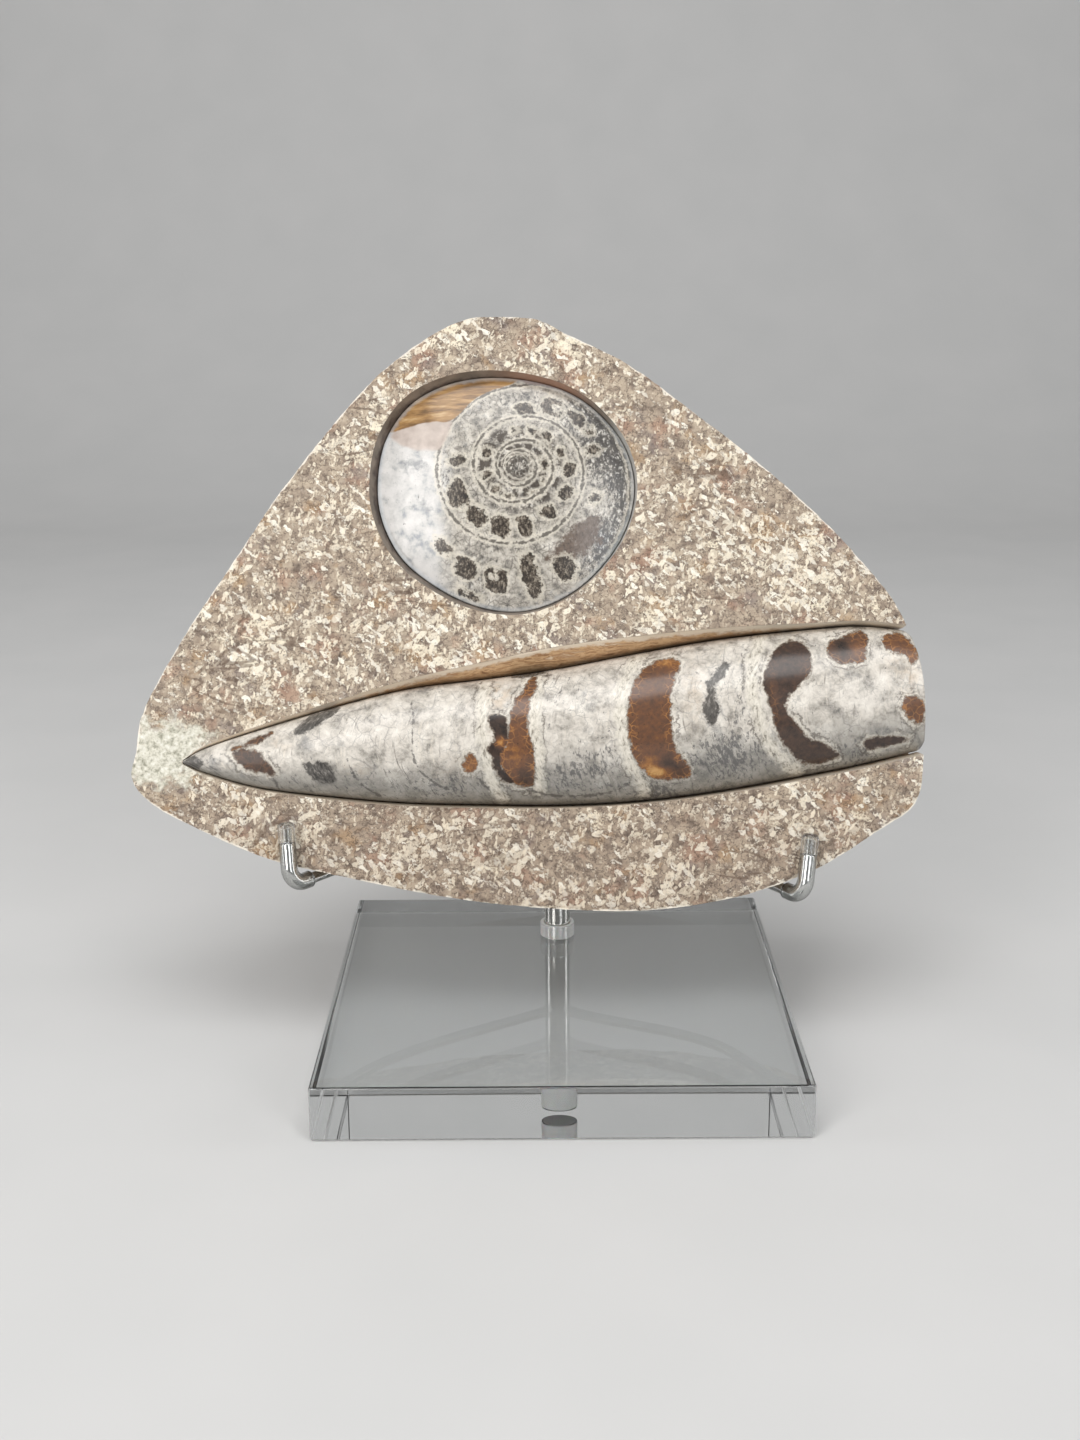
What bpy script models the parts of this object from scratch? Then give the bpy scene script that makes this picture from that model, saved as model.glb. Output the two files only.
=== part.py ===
"""A limestone slab with two polished fossils, leaning on a clear block stand with steel arms.

The slab holds an orthoceras, a long straight shell cut off at the slab's right edge, in a
groove, and a coiled goniatite in a round pocket. It rests on two hooked wires and leans back
on the top of a post, which stands in a bush in the clear block.

Metres, +Z up. The origin is the centre of the block's bottom face, and the slab faces -Y.
Shapes on the slab are given in its own plane: x to the right, y up the slab, z out of its face.
"""

import math

import bmesh
import bpy
import numpy as np
from mathutils import Matrix, Vector, noise

MM = 0.001
TOUCH_GAP = 0.3 * MM

# The clear block
BLOCK_SIDE = 130 * MM
BLOCK_HEIGHT = 15 * MM
BLOCK_EDGE = 0.5 * MM

# The post, the bush that holds its foot and the soft cap on its top
POST_Y = 45.5 * MM
POST_RADIUS = 4 * MM
POST_TOP = 123.7 * MM
POST_CHAMFER = 0.4 * MM
BUSH_RADIUS = 5.4 * MM
BUSH_DEPTH = 12.7 * MM
BUSH_FLOOR = 2 * MM
CAP_RADIUS = 5.1 * MM
CAP_LENGTH = 12 * MM
CAP_CROWN = 1.2 * MM
CAP_ROUNDING = 1.5 * MM

# The slab leans back, and its plane's zero is a little above its lowest point
LEAN = math.radians(20)
PLANE_ZERO = Vector((0, -8, 50)) * MM
SLAB_THICKNESS = 20 * MM
SIDE_INSET = 2.5 * MM
FOOT_INSET = 8.6 * MM
SHELL_END_INSET = 2 * MM
FRONT_RELIEF = 0.45 * MM
BROAD_CELL = 31 * MM
FINE_CELL = 8 * MM
SIDE_RELIEF = 1.0 * MM
SIDE_CELL = 9 * MM
GRID_CELL = 5 * MM

# The slab's outline, anticlockwise from the top, in mm of its plane
SLAB_OUTLINE = (
    (-25, 161.4), (-38, 155.2), (-52, 144.1), (-64, 130.6), (-80, 109.8), (-93, 90),
    (-106, 70), (-117.4, 49), (-119.8, 36), (-121, 29), (-115.2, 21.6), (-100.4, 13.7),
    (-81, 5.5), (-63.6, 1.4), (-38.3, -4), (-15, -7.5), (18, -9.4), (41, -7.4),
    (58, -3.4), (74, 2.8), (91, 13.2), (101, 20.4), (103.6, 33), (103.9, 53),
    (101, 67.5), (94.2, 81), (78.3, 99.8), (58.3, 118.5), (38.2, 134.7), (20.5, 147.9),
    (4, 156.3), (-4.6, 160.8), (-13, 161.7),
)
OUTLINE_STEPS = 4

# The orthoceras from its point to past the slab's edge, in mm: x, the groove's lower rim, the
# shell's lower and upper side, the groove's upper rim, the shell's height above the slab's
# face, and the depth below it where the shell is widest
SHELL_STATIONS = (
    (-106.5, 32.9, 33.1, 33.7, 33.9, 0.3, 0.2),
    (-100, 29.6, 30.4, 37.4, 38.2, 1.6, 1.4),
    (-84, 25.2, 26.0, 42.9, 43.9, 3.6, 3.0),
    (-59, 21.9, 23.0, 50.4, 51.8, 5.8, 5.0),
    (-41, 20.5, 21.6, 54.6, 57.0, 6.8, 6.4),
    (-22, 19.9, 21.1, 56.9, 61.2, 7.6, 7.2),
    (0, 19.7, 20.8, 60.0, 65.7, 8.2, 8.0),
    (23, 20.8, 21.8, 64.3, 68.6, 8.6, 8.2),
    (47, 23.5, 24.7, 68.3, 70.8, 8.4, 8.2),
    (75, 28.2, 29.6, 71.1, 72.1, 7.6, 7.4),
    (90, 31.2, 32.6, 71.6, 72.4, 6.6, 6.6),
    (112, 36.2, 37.8, 68.6, 69.4, 5.4, 5.6),
)
SHELL_DEPTH = 13 * MM
SHELL_STEPS = 3
SHELL_SIDES = 28

# The groove's walls: their flare in front of the face, and how hollow a wall of full width is
WALL_FULL = 4 * MM
WALL_HOLLOW = 0.9 * MM
WALL_FLARE = 0.4 * MM

# The round pocket's rim, anticlockwise from its left, in mm, its wall and the coiled shell in it
POCKET_RIM = (
    (-53.7, 111.2), (-50.6, 98), (-42.5, 87), (-26, 77.2), (-9, 75.2), (6.6, 82),
    (18.8, 96), (23.3, 112), (19, 127.2), (6.5, 139.8), (-10.2, 145.4),
    (-27.5, 145.4), (-42.2, 139.2), (-51.2, 127),
)
RIM_STEPS = 4
RIM_WALL = 0.7 * MM
RIM_WALL_WIDER = 1.4 * MM
RIM_WIDE_HEADING = math.radians(190)
RIM_SLOPE = 0.4
COIL_EDGE_DEPTH = 3.5 * MM
COIL_CROWN = 2.6 * MM
COIL_DEPTH = 10 * MM
COIL_RINGS = 6

# The hooked wires, in mm of the slab's plane, and the direction in which each runs back
WIRE_RADIUS = 1.6 * MM
WIRE_BEND = 4.2 * MM
WIRE_RUN = 21 * MM
WIRE_PROUD = 2.8 * MM
WIRE_POST_HEIGHT = 45 * MM
WIRE_POST_HEADING = math.radians(35)
HOOKS = {
    "left": {"tip": (-76.8, 16.2), "corner": (-75.3, -1.7), "heading": (0.78, 1, -0.02)},
    "right": {"tip": (70.8, 12.1), "corner": (68.5, -5.9), "heading": (-0.62, 1, -0.03)},
}

# The clear sleeves on the wires
SLEEVE_RADIUS = 2.4 * MM
SLEEVE_BORE = 1.9 * MM
SLEEVE_TIP = 1.2 * MM
SLEEVE_HOLLOW = 5.2 * MM
SLEEVE_PAST_BEND = 2.5 * MM

ROUND_SEGMENTS = 32
CLEAR = 12 * MM


def emptied_scene():
    for old in list(bpy.data.objects):
        bpy.data.objects.remove(old, do_unlink=True)
    parts = bpy.data.collections.new("orthoceras fossil")
    cutters = bpy.data.collections.new("cutters")
    for collection in (parts, cutters):
        bpy.context.scene.collection.children.link(collection)
    return parts, cutters


PARTS, CUTTERS = emptied_scene()


def material(name, colour, roughness, metallic=0.0, transmission=0.0):
    made = bpy.data.materials.new(name)
    made.use_nodes = True
    shader = made.node_tree.nodes["Principled BSDF"]
    shader.inputs["Base Color"].default_value = (*colour, 1)
    shader.inputs["Roughness"].default_value = roughness
    shader.inputs["Metallic"].default_value = metallic
    shader.inputs["Transmission Weight"].default_value = transmission
    return made


MATERIALS = {
    "matrix": material("matrix", (0.47, 0.36, 0.27), 0.8),
    "orthoceras": material("orthoceras", (0.62, 0.58, 0.54), 0.25),
    "goniatite": material("goniatite", (0.50, 0.48, 0.45), 0.25),
    "steel": material("steel", (0.62, 0.61, 0.59), 0.22, metallic=1.0),
    "vinyl": material("vinyl", (0.85, 0.87, 0.88), 0.3, transmission=0.9),
    "acrylic": material("acrylic", (0.95, 0.97, 0.98), 0.03, transmission=1.0),
    "bush": material("bush", (0.86, 0.86, 0.84), 0.5),
}


def slab_frame():
    """An empty whose z axis points out of the slab's face."""
    frame = bpy.data.objects.new("slab_frame", None)
    PARTS.objects.link(frame)
    frame.location = PLANE_ZERO
    frame.rotation_euler = (math.pi / 2 - LEAN, 0, 0)
    bpy.context.view_layer.update()
    return frame


SLAB_FRAME = slab_frame()


def add_object(name, data, slot, collection=PARTS, parent=None):
    made = bpy.data.objects.new(name, data)
    collection.objects.link(made)
    if slot:
        data.materials.append(MATERIALS[slot])
    if parent:
        made.parent = parent
    if collection is CUTTERS:
        made.hide_render = True
        made.display_type = "WIRE"
    return made


def mesh_from(name, shape):
    """A mesh from a bmesh, with its faces pointing out."""
    bmesh.ops.recalc_face_normals(shape, faces=shape.faces)
    mesh = bpy.data.meshes.new(name)
    shape.to_mesh(mesh)
    shape.free()
    return mesh


def cut(target, cutter, operation="DIFFERENCE"):
    boolean = target.modifiers.new(f"{operation.lower()} {cutter.name}", "BOOLEAN")
    boolean.operation = operation
    boolean.solver = "EXACT"
    boolean.object = cutter


def catmull_rom(before, start, end, after, share):
    """A point on a smooth curve between start and end, with their neighbours on either side."""
    return 0.5 * (
        2 * start
        + (end - before) * share
        + (2 * before - 5 * start + 4 * end - after) * share**2
        + (3 * start - before - 3 * end + after) * share**3
    )


def smooth_loop(points_mm, steps):
    """A closed smooth curve through the points, in metres."""
    points = np.array(points_mm) * MM
    count = len(points)
    return np.array([
        catmull_rom(*(points[(i + k) % count] for k in (-1, 0, 1, 2)), step / steps)
        for i in range(count)
        for step in range(steps)
    ])


def smooth_rows(rows_mm, steps):
    """Rows between the given ones on smooth curves, from the first row to the last, in metres."""
    rows = np.array(rows_mm) * MM
    padded = np.concatenate([[2 * rows[0] - rows[1]], rows, [2 * rows[-1] - rows[-2]]])
    made = [
        catmull_rom(*padded[i : i + 4], step / steps)
        for i in range(len(rows) - 1)
        for step in range(steps)
    ]
    return np.array([*made, rows[-1]])


def outward(loop):
    """The outward unit normal at each point of a loop that runs anticlockwise."""
    along = np.roll(loop, -1, axis=0) - np.roll(loop, 1, axis=0)
    normal = np.stack([along[:, 1], -along[:, 0]], axis=1)
    return normal / np.linalg.norm(normal, axis=1, keepdims=True)


def loft(rings):
    """A closed solid through rings that have the same number of points."""
    shape = bmesh.new()
    made = [[shape.verts.new(point) for point in ring] for ring in rings]
    for lower, upper in zip(made, made[1:]):
        for i in range(len(lower)):
            j = (i + 1) % len(lower)
            shape.faces.new((lower[i], lower[j], upper[j], upper[i]))
    shape.faces.new(made[0])
    shape.faces.new(made[-1])
    return shape


def at_height(loop, height):
    return [(x, y, height) for x, y in loop]


def slab_sides():
    """The slab's broken sides as a cutter: they slope inwards to the back, most of all below.

    In front of the face they draw in a little, for the end of the shell that stands out of it.
    """
    loop = smooth_loop(SLAB_OUTLINE, OUTLINE_STEPS)
    normal = outward(loop)
    below = np.clip(-normal[:, 1], 0, 1) ** 1.5
    inset = SIDE_INSET + (FOOT_INSET - SIDE_INSET) * below
    rings = [at_height(loop - normal * SHELL_END_INSET, CLEAR)]
    for share in (0, 0.25, 0.5, 0.75, 1, 1.5):
        depth = SLAB_THICKNESS * share
        rough = np.array([
            noise.noise(Vector((x, y, depth)) / SIDE_CELL) * SIDE_RELIEF * min(share, 1)
            for x, y in loop
        ])
        moved = loop - normal * (inset * share + rough)[:, None]
        rings.append(at_height(moved, -depth))
    return add_object("slab_sides", mesh_from("slab_sides", loft(rings)), None, CUTTERS, SLAB_FRAME)


def front_height(x, y):
    """How far the stone's face stands out of its plane at a point."""
    broad = noise.noise(Vector((x, y, 0)) / BROAD_CELL)
    fine = noise.noise(Vector((x, y, 0.5)) / FINE_CELL)
    return FRONT_RELIEF * (0.7 * broad + 0.6 * fine)


def slab(sides, hollows):
    """The stone: a block with a rough face, trimmed to its sides and hollowed for the shells."""
    low, high = np.min(SLAB_OUTLINE, axis=0) * MM, np.max(SLAB_OUTLINE, axis=0) * MM
    cells = np.ceil((high - low) / GRID_CELL).astype(int) + 2
    shape = bmesh.new()
    middle = Vector(((low + high) / 2).tolist())
    bmesh.ops.create_grid(shape, x_segments=int(cells[0]), y_segments=int(cells[1]), size=0.5)
    for vertex in shape.verts:
        x = middle.x + vertex.co.x * cells[0] * GRID_CELL
        y = middle.y + vertex.co.y * cells[1] * GRID_CELL
        vertex.co = (x, y, front_height(x, y))
    rim = [edge for edge in shape.edges if edge.is_boundary]
    walls = bmesh.ops.extrude_edge_only(shape, edges=rim)["geom"]
    lower = [item for item in walls if isinstance(item, bmesh.types.BMVert)]
    for vertex in lower:
        vertex.co.z = -SLAB_THICKNESS
    bmesh.ops.contextual_create(shape, geom=[e for e in shape.edges if e.is_boundary])
    stone = add_object("slab", mesh_from("slab", shape), "matrix", parent=SLAB_FRAME)
    cut(stone, sides, "INTERSECT")
    for hollow in hollows:
        cut(stone, hollow)
    return stone


def shell_section(row):
    """The orthoceras in one plane across it: an ellipse, flat underneath where it is deep."""
    x, _, low, high, _, crown, widest = row
    half_width, half_height = (high - low) / 2, crown + widest
    ring = []
    for side in range(SHELL_SIDES):
        turn = 2 * math.pi * side / SHELL_SIDES
        z = -widest + half_height * math.sin(turn)
        ring.append((x, (low + high) / 2 + half_width * math.cos(turn), max(z, -SHELL_DEPTH)))
    return ring


def orthoceras(sides):
    rings = [shell_section(row) for row in smooth_rows(SHELL_STATIONS, SHELL_STEPS)]
    shell = add_object("orthoceras", mesh_from("orthoceras", loft(rings)), "orthoceras", parent=SLAB_FRAME)
    cut(shell, sides, "INTERSECT")
    for face in shell.data.polygons:
        face.use_smooth = True
    return shell


def groove_section(row):
    """The groove across the shell: upright beside it, then hollow slopes out to both rims."""
    x, rim_low, low, high, rim_high, crown, widest = row
    floor = max(-widest - (crown + widest), -SHELL_DEPTH) - TOUCH_GAP
    low, high = low - TOUCH_GAP, high + TOUCH_GAP
    width = (rim_high - high) / WALL_FULL
    hollow = WALL_HOLLOW * min(1, width)
    flare = WALL_FLARE * width * CLEAR / max(widest, MM)
    ring = (
        (high, floor),
        (high, -widest),
        ((high + rim_high) / 2 - hollow, -widest / 2 + hollow / 5),
        (rim_high, 0),
        (rim_high + flare, CLEAR),
        (rim_low - WALL_FLARE, CLEAR),
        (rim_low, 0),
        ((low + rim_low) / 2, -widest / 2),
        (low, -widest),
        (low, floor),
    )
    return [(x, y, z) for y, z in ring]


def groove():
    rings = [groove_section(row) for row in smooth_rows(SHELL_STATIONS, SHELL_STEPS)]
    return add_object("groove", mesh_from("groove", loft(rings)), None, CUTTERS, SLAB_FRAME)


def coil_edge():
    """The coiled shell's outline: the pocket's rim, drawn in by the width of the pocket's wall."""
    rim = smooth_loop(POCKET_RIM, RIM_STEPS)
    heading = np.arctan2(*(rim - rim.mean(axis=0)).T[::-1])
    wide = 0.5 + 0.5 * np.cos(heading - RIM_WIDE_HEADING)
    return rim, rim - outward(rim) * (RIM_WALL + RIM_WALL_WIDER * wide)[:, None]


def pocket():
    rim, edge = coil_edge()
    wall = edge + outward(edge) * TOUCH_GAP
    rings = [
        at_height(rim + (rim - wall) * RIM_SLOPE, CLEAR),
        at_height(rim, 0),
        at_height(wall, -COIL_EDGE_DEPTH),
        at_height(wall, -COIL_DEPTH - TOUCH_GAP),
    ]
    return add_object("pocket", mesh_from("pocket", loft(rings)), None, CUTTERS, SLAB_FRAME)


def goniatite():
    """The coiled shell: a disc with a low dome, polished across its coils."""
    _, edge = coil_edge()
    middle = edge.mean(axis=0)
    rings = [at_height(edge, -COIL_DEPTH)]
    for ring in range(COIL_RINGS):
        reach = 1 - ring / COIL_RINGS
        rise = (COIL_CROWN + COIL_EDGE_DEPTH) * (1 - reach**2.4)
        rings.append(at_height(middle + (edge - middle) * reach, rise - COIL_EDGE_DEPTH))
    disc = add_object("goniatite", mesh_from("goniatite", loft(rings)), "goniatite", parent=SLAB_FRAME)
    for face in disc.data.polygons:
        face.use_smooth = True
    return disc


def plane_point(x_mm, y_mm, proud):
    """World place of a point in front of the slab's plane."""
    return SLAB_FRAME.matrix_world @ Vector((x_mm * MM, y_mm * MM, proud))


def bend(corner, to_start, to_end, radius, steps=6):
    """Points of the arc that rounds a corner between two directions that leave it."""
    half = to_start.angle(to_end) / 2
    centre = corner + (to_start + to_end).normalized() * (radius / math.sin(half))
    first = corner + to_start * (radius / math.tan(half)) - centre
    last = corner + to_end * (radius / math.tan(half)) - centre
    turns = (first.normalized().slerp(last.normalized(), step / steps) for step in range(steps + 1))
    return [centre + turn * first.length for turn in turns]


def bezier(a, b, c, d, steps):
    return [
        a * (1 - t) ** 3 + b * 3 * t * (1 - t) ** 2 + c * 3 * t**2 * (1 - t) + d * t**3
        for t in (step / steps for step in range(1, steps + 1))
    ]


def hook_route(hook):
    """The sleeve's tip, the wire's bend and the rest of the wire's way back to the post."""
    tip = plane_point(*hook["tip"], WIRE_PROUD)
    corner = plane_point(*hook["corner"], WIRE_PROUD)
    heading = Vector(hook["heading"]).normalized()
    arc = bend(corner, (tip - corner).normalized(), heading, WIRE_BEND)
    run_end = arc[-1] + heading * WIRE_RUN
    side = math.copysign(1, tip.x)
    away = Vector((side * math.cos(WIRE_POST_HEADING), -math.sin(WIRE_POST_HEADING), 0))
    end = Vector((0, POST_Y, WIRE_POST_HEIGHT)) + away * (POST_RADIUS + TOUCH_GAP)
    reach = (end - run_end).length
    back = bezier(run_end, run_end + heading * reach / 3, end + away * reach / 3, end, 8)
    return tip, arc, [run_end, *back]


def tube(name, points, radius, slot, collection=PARTS):
    """A closed mesh tube along the points, with welded caps."""
    curve = bpy.data.curves.new(name, "CURVE")
    curve.dimensions = "3D"
    curve.bevel_depth = radius
    curve.bevel_resolution = 4
    curve.use_fill_caps = True
    line = curve.splines.new("POLY")
    line.points.add(len(points) - 1)
    for place, point in zip(line.points, points):
        place.co = (*point, 1)
    guide = bpy.data.objects.new(name, curve)
    collection.objects.link(guide)
    bpy.context.view_layer.update()
    solid = bpy.data.meshes.new_from_object(guide.evaluated_get(bpy.context.evaluated_depsgraph_get()))
    matrix = guide.matrix_world.copy()
    bpy.data.objects.remove(guide, do_unlink=True)
    shape = bmesh.new()
    shape.from_mesh(solid)
    bpy.data.meshes.remove(solid)
    bmesh.ops.remove_doubles(shape, verts=shape.verts, dist=0.01 * MM)
    made = add_object(name, mesh_from(name, shape), slot, collection)
    made.matrix_world = matrix
    made.data.shade_smooth()
    made.data.set_sharp_from_angle(angle=math.radians(50))
    return made


def hook(side, shape):
    """A steel wire from the post to its hook, and the clear sleeve on the hook."""
    tip, arc, back = hook_route(shape)
    down = (arc[0] - tip).normalized()
    tube(f"{side}_arm", [tip + down * SLEEVE_HOLLOW, *arc, *back], WIRE_RADIUS, "steel")
    onward = (back[0] - arc[-1]).normalized()
    mouth = arc[-1] + onward * SLEEVE_PAST_BEND
    sleeve = tube(f"{side}_sleeve", [tip, *arc, mouth], SLEEVE_RADIUS, "vinyl")
    bore_end = mouth + onward * SLEEVE_BORE
    bore = tube(f"{side}_bore", [tip + down * SLEEVE_TIP, *arc, bore_end], SLEEVE_BORE, None, CUTTERS)
    cut(sleeve, bore)


def turned(name, profile, slot):
    """A solid turned about the post's axis from (radius, height) pairs that run down its outside."""
    mesh = bpy.data.meshes.new(name)
    mesh.from_pydata([(r, 0, z) for r, z in profile], [(i, i + 1) for i in range(len(profile) - 1)], [])
    made = add_object(name, mesh, slot)
    made.location = (0, POST_Y, 0)
    screw = made.modifiers.new("turn", "SCREW")
    screw.steps = screw.render_steps = ROUND_SEGMENTS
    screw.use_merge_vertices = True
    screw.merge_threshold = 0.0001
    screw.use_smooth_shade = False
    return made


def post():
    foot = BLOCK_HEIGHT - BUSH_DEPTH + BUSH_FLOOR + TOUCH_GAP
    turned("post", (
        (0, POST_TOP),
        (POST_RADIUS - POST_CHAMFER, POST_TOP),
        (POST_RADIUS, POST_TOP - POST_CHAMFER),
        (POST_RADIUS, foot),
        (0, foot),
    ), "steel")


def post_bush():
    floor = BLOCK_HEIGHT - BUSH_DEPTH
    bore = POST_RADIUS + TOUCH_GAP
    turned("post_bush", (
        (0, floor + BUSH_FLOOR),
        (bore, floor + BUSH_FLOOR),
        (bore, BLOCK_HEIGHT),
        (BUSH_RADIUS, BLOCK_HEIGHT),
        (BUSH_RADIUS, floor),
        (0, floor),
    ), "bush")


def post_cap():
    bore = POST_RADIUS + TOUCH_GAP
    inside = POST_TOP + TOUCH_GAP
    top = inside + CAP_CROWN
    foot = top - CAP_LENGTH
    rounding = [
        (
            CAP_RADIUS - CAP_ROUNDING * (1 - math.sin(turn)),
            top - CAP_ROUNDING * (1 - math.cos(turn)),
        )
        for turn in np.linspace(0, math.pi / 2, 5)
    ]
    turned("post_cap", (
        (0, top),
        *rounding,
        (CAP_RADIUS, foot),
        (bore, foot),
        (bore, inside),
        (0, inside),
    ), "vinyl")


def clear_block():
    bpy.ops.mesh.primitive_cube_add(size=1, location=(0, 0, BLOCK_HEIGHT / 2))
    block = bpy.context.object
    block.name = "clear_block"
    block.data.transform(Matrix.Diagonal((BLOCK_SIDE, BLOCK_SIDE, BLOCK_HEIGHT, 1)))
    block.data.materials.append(MATERIALS["acrylic"])
    for collection in list(block.users_collection):
        collection.objects.unlink(block)
    PARTS.objects.link(block)
    edge = block.modifiers.new("polished edge", "BEVEL")
    edge.width = BLOCK_EDGE
    edge.segments = 2
    hole_depth = BUSH_DEPTH + TOUCH_GAP
    shape = bmesh.new()
    bmesh.ops.create_cone(
        shape,
        cap_ends=True,
        segments=ROUND_SEGMENTS,
        radius1=BUSH_RADIUS + TOUCH_GAP,
        radius2=BUSH_RADIUS + TOUCH_GAP,
        depth=2 * hole_depth,
    )
    hole = add_object("bush_hole", mesh_from("bush_hole", shape), None, CUTTERS)
    hole.location = (0, POST_Y, BLOCK_HEIGHT)
    cut(block, hole)


def build():
    clear_block()
    post_bush()
    post()
    post_cap()
    for side, shape in HOOKS.items():
        hook(side, shape)
    sides = slab_sides()
    slab(sides, (groove(), pocket()))
    orthoceras(sides)
    goniatite()


build()
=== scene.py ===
"""The looks of a limestone slab with two polished fossils on a clear block stand.

Sizes are in millimetres of the slab's own plane or of the stand, and MM turns them into metres.
In the slab's plane x runs to the right, y up the slab and z out of its face.
"""

import math

import bmesh
import bpy
import numpy as np
from mathutils import Matrix, Vector, noise


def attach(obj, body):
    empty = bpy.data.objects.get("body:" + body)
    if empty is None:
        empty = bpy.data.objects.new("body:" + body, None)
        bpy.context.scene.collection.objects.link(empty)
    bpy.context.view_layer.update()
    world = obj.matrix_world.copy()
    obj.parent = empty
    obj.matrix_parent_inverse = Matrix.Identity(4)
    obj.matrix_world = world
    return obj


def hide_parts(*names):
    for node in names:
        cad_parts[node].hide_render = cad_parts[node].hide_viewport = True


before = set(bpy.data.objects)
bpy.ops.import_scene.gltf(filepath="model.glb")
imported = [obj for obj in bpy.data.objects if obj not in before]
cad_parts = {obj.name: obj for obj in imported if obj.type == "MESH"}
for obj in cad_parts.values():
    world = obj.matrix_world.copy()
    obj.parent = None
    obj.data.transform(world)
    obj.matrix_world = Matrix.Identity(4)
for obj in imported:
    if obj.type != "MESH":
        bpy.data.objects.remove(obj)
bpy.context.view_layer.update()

MM = 0.001

# The slab's place, as in the stand
LEAN = math.radians(20)
PLANE_ZERO = Vector((0, -8, 50))

# The slab's outline, anticlockwise from the top
SLAB_OUTLINE = (
    (-25, 161.4), (-38, 155.2), (-52, 144.1), (-64, 130.6), (-80, 109.8), (-93, 90),
    (-106, 70), (-117.4, 49), (-119.8, 36), (-121, 29), (-115.2, 21.6), (-100.4, 13.7),
    (-81, 5.5), (-63.6, 1.4), (-38.3, -4), (-15, -7.5), (18, -9.4), (41, -7.4),
    (58, -3.4), (74, 2.8), (91, 13.2), (101, 20.4), (103.6, 33), (103.9, 53),
    (101, 67.5), (94.2, 81), (78.3, 99.8), (58.3, 118.5), (38.2, 134.7), (20.5, 147.9),
    (4, 156.3), (-4.6, 160.8), (-13, 161.7),
)

# The orthoceras along its length: x, the groove's lower rim, the shell's lower and upper side,
# the groove's upper rim, the shell's height above the face and the depth where it is widest
SHELL_STATIONS = (
    (-106.5, 32.9, 33.1, 33.7, 33.9, 0.3, 0.2),
    (-100, 29.6, 30.4, 37.4, 38.2, 1.6, 1.4),
    (-84, 25.2, 26.0, 42.9, 43.9, 3.6, 3.0),
    (-59, 21.9, 23.0, 50.4, 51.8, 5.8, 5.0),
    (-41, 20.5, 21.6, 54.6, 57.0, 6.8, 6.4),
    (-22, 19.9, 21.1, 56.9, 61.2, 7.6, 7.2),
    (0, 19.7, 20.8, 60.0, 65.7, 8.2, 8.0),
    (23, 20.8, 21.8, 64.3, 68.6, 8.6, 8.2),
    (47, 23.5, 24.7, 68.3, 70.8, 8.4, 8.2),
    (75, 28.2, 29.6, 71.1, 72.1, 7.6, 7.4),
    (90, 31.2, 32.6, 71.6, 72.4, 6.6, 6.6),
    (112, 36.2, 37.8, 68.6, 69.4, 5.4, 5.6),
)
SHELL_DEPTH = 13

# The round pocket's rim, anticlockwise from its left, and the coiled shell's dome
POCKET_RIM = (
    (-53.7, 111.2), (-50.6, 98), (-42.5, 87), (-26, 77.2), (-9, 75.2), (6.6, 82),
    (18.8, 96), (23.3, 112), (19, 127.2), (6.5, 139.8), (-10.2, 145.4),
    (-27.5, 145.4), (-42.2, 139.2), (-51.2, 127),
)
RIM_WALL = 0.7
RIM_WALL_WIDER = 1.4
RIM_WIDE_HEADING = math.radians(190)
COIL_EDGE_DEPTH = 3.5
COIL_CROWN = 2.6
COIL_DEPTH = 10
COIL_CENTRE = (-10.6, 117.3)
COIL_RINGS = 130
COIL_FLATNESS = 2.4

# The stand
POST_Y = 45.5
POST_RADIUS = 4
POST_TOP = 123.7
BLOCK_HEIGHT = 15
BUSH_RADIUS = 5.4
BUSH_DEPTH = 12.7
BUSH_FLOOR = 2
TURNED_SIDES = 96
TURNED_CREASE = math.radians(40)
BLOCK_CREASE = math.radians(18)
CAP_RADIUS = 5.1
CAP_LENGTH = 12
GAP = 0.3
WIRE_RADIUS = 1.6
WIRE_SIDES = 28
BRAZE = 0.9
BRAZE_REACH = 1.3
WIRE_BEND = 4.2
WIRE_RUN = 21
WIRE_PROUD = 2.8
WIRE_POST_HEIGHT = 45
WIRE_POST_HEADING = math.radians(35)
HOOKS = {
    "left": {"tip": (-76.8, 16.2), "corner": (-75.3, -1.7), "heading": (0.78, 1, -0.02)},
    "right": {"tip": (70.8, 12.1), "corner": (68.5, -5.9), "heading": (-0.62, 1, -0.03)},
}
SLEEVE_RADIUS = 2.4
SLEEVE_HOLLOW = 5.2
SLEEVE_PAST_BEND = 2.5
SLEEVE_GRIP = 1.56

# The floor lies this far below the clear block, so that light passes between them
FLOOR_GAP = 0.2

# The camera, from the photograph's own view
CAMERA_PLACE = Vector((-5.1, -456.4, 221.5)) * MM
CAMERA_PITCH = math.radians(-15.597)
CAMERA_ROLL = math.radians(-0.357)
CAMERA_LENS = 42.38


def catmull_rom(before, start, end, after, share):
    """A point on a smooth curve between start and end, with their neighbours on either side."""
    return 0.5 * (
        2 * start
        + (end - before) * share
        + (2 * before - 5 * start + 4 * end - after) * share**2
        + (3 * start - before - 3 * end + after) * share**3
    )


def smooth_loop(points, steps):
    """A closed smooth curve through the points."""
    points = np.array(points, float)
    count = len(points)
    return np.array([
        catmull_rom(*(points[(i + k) % count] for k in (-1, 0, 1, 2)), step / steps)
        for i in range(count)
        for step in range(steps)
    ])


def smooth_rows(rows, steps):
    """Rows between the given ones on smooth curves, from the first row to the last."""
    rows = np.array(rows, float)
    padded = np.concatenate([[2 * rows[0] - rows[1]], rows, [2 * rows[-1] - rows[-2]]])
    made = [
        catmull_rom(*padded[i : i + 4], step / steps)
        for i in range(len(rows) - 1)
        for step in range(steps)
    ]
    return np.array([*made, rows[-1]])


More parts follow.
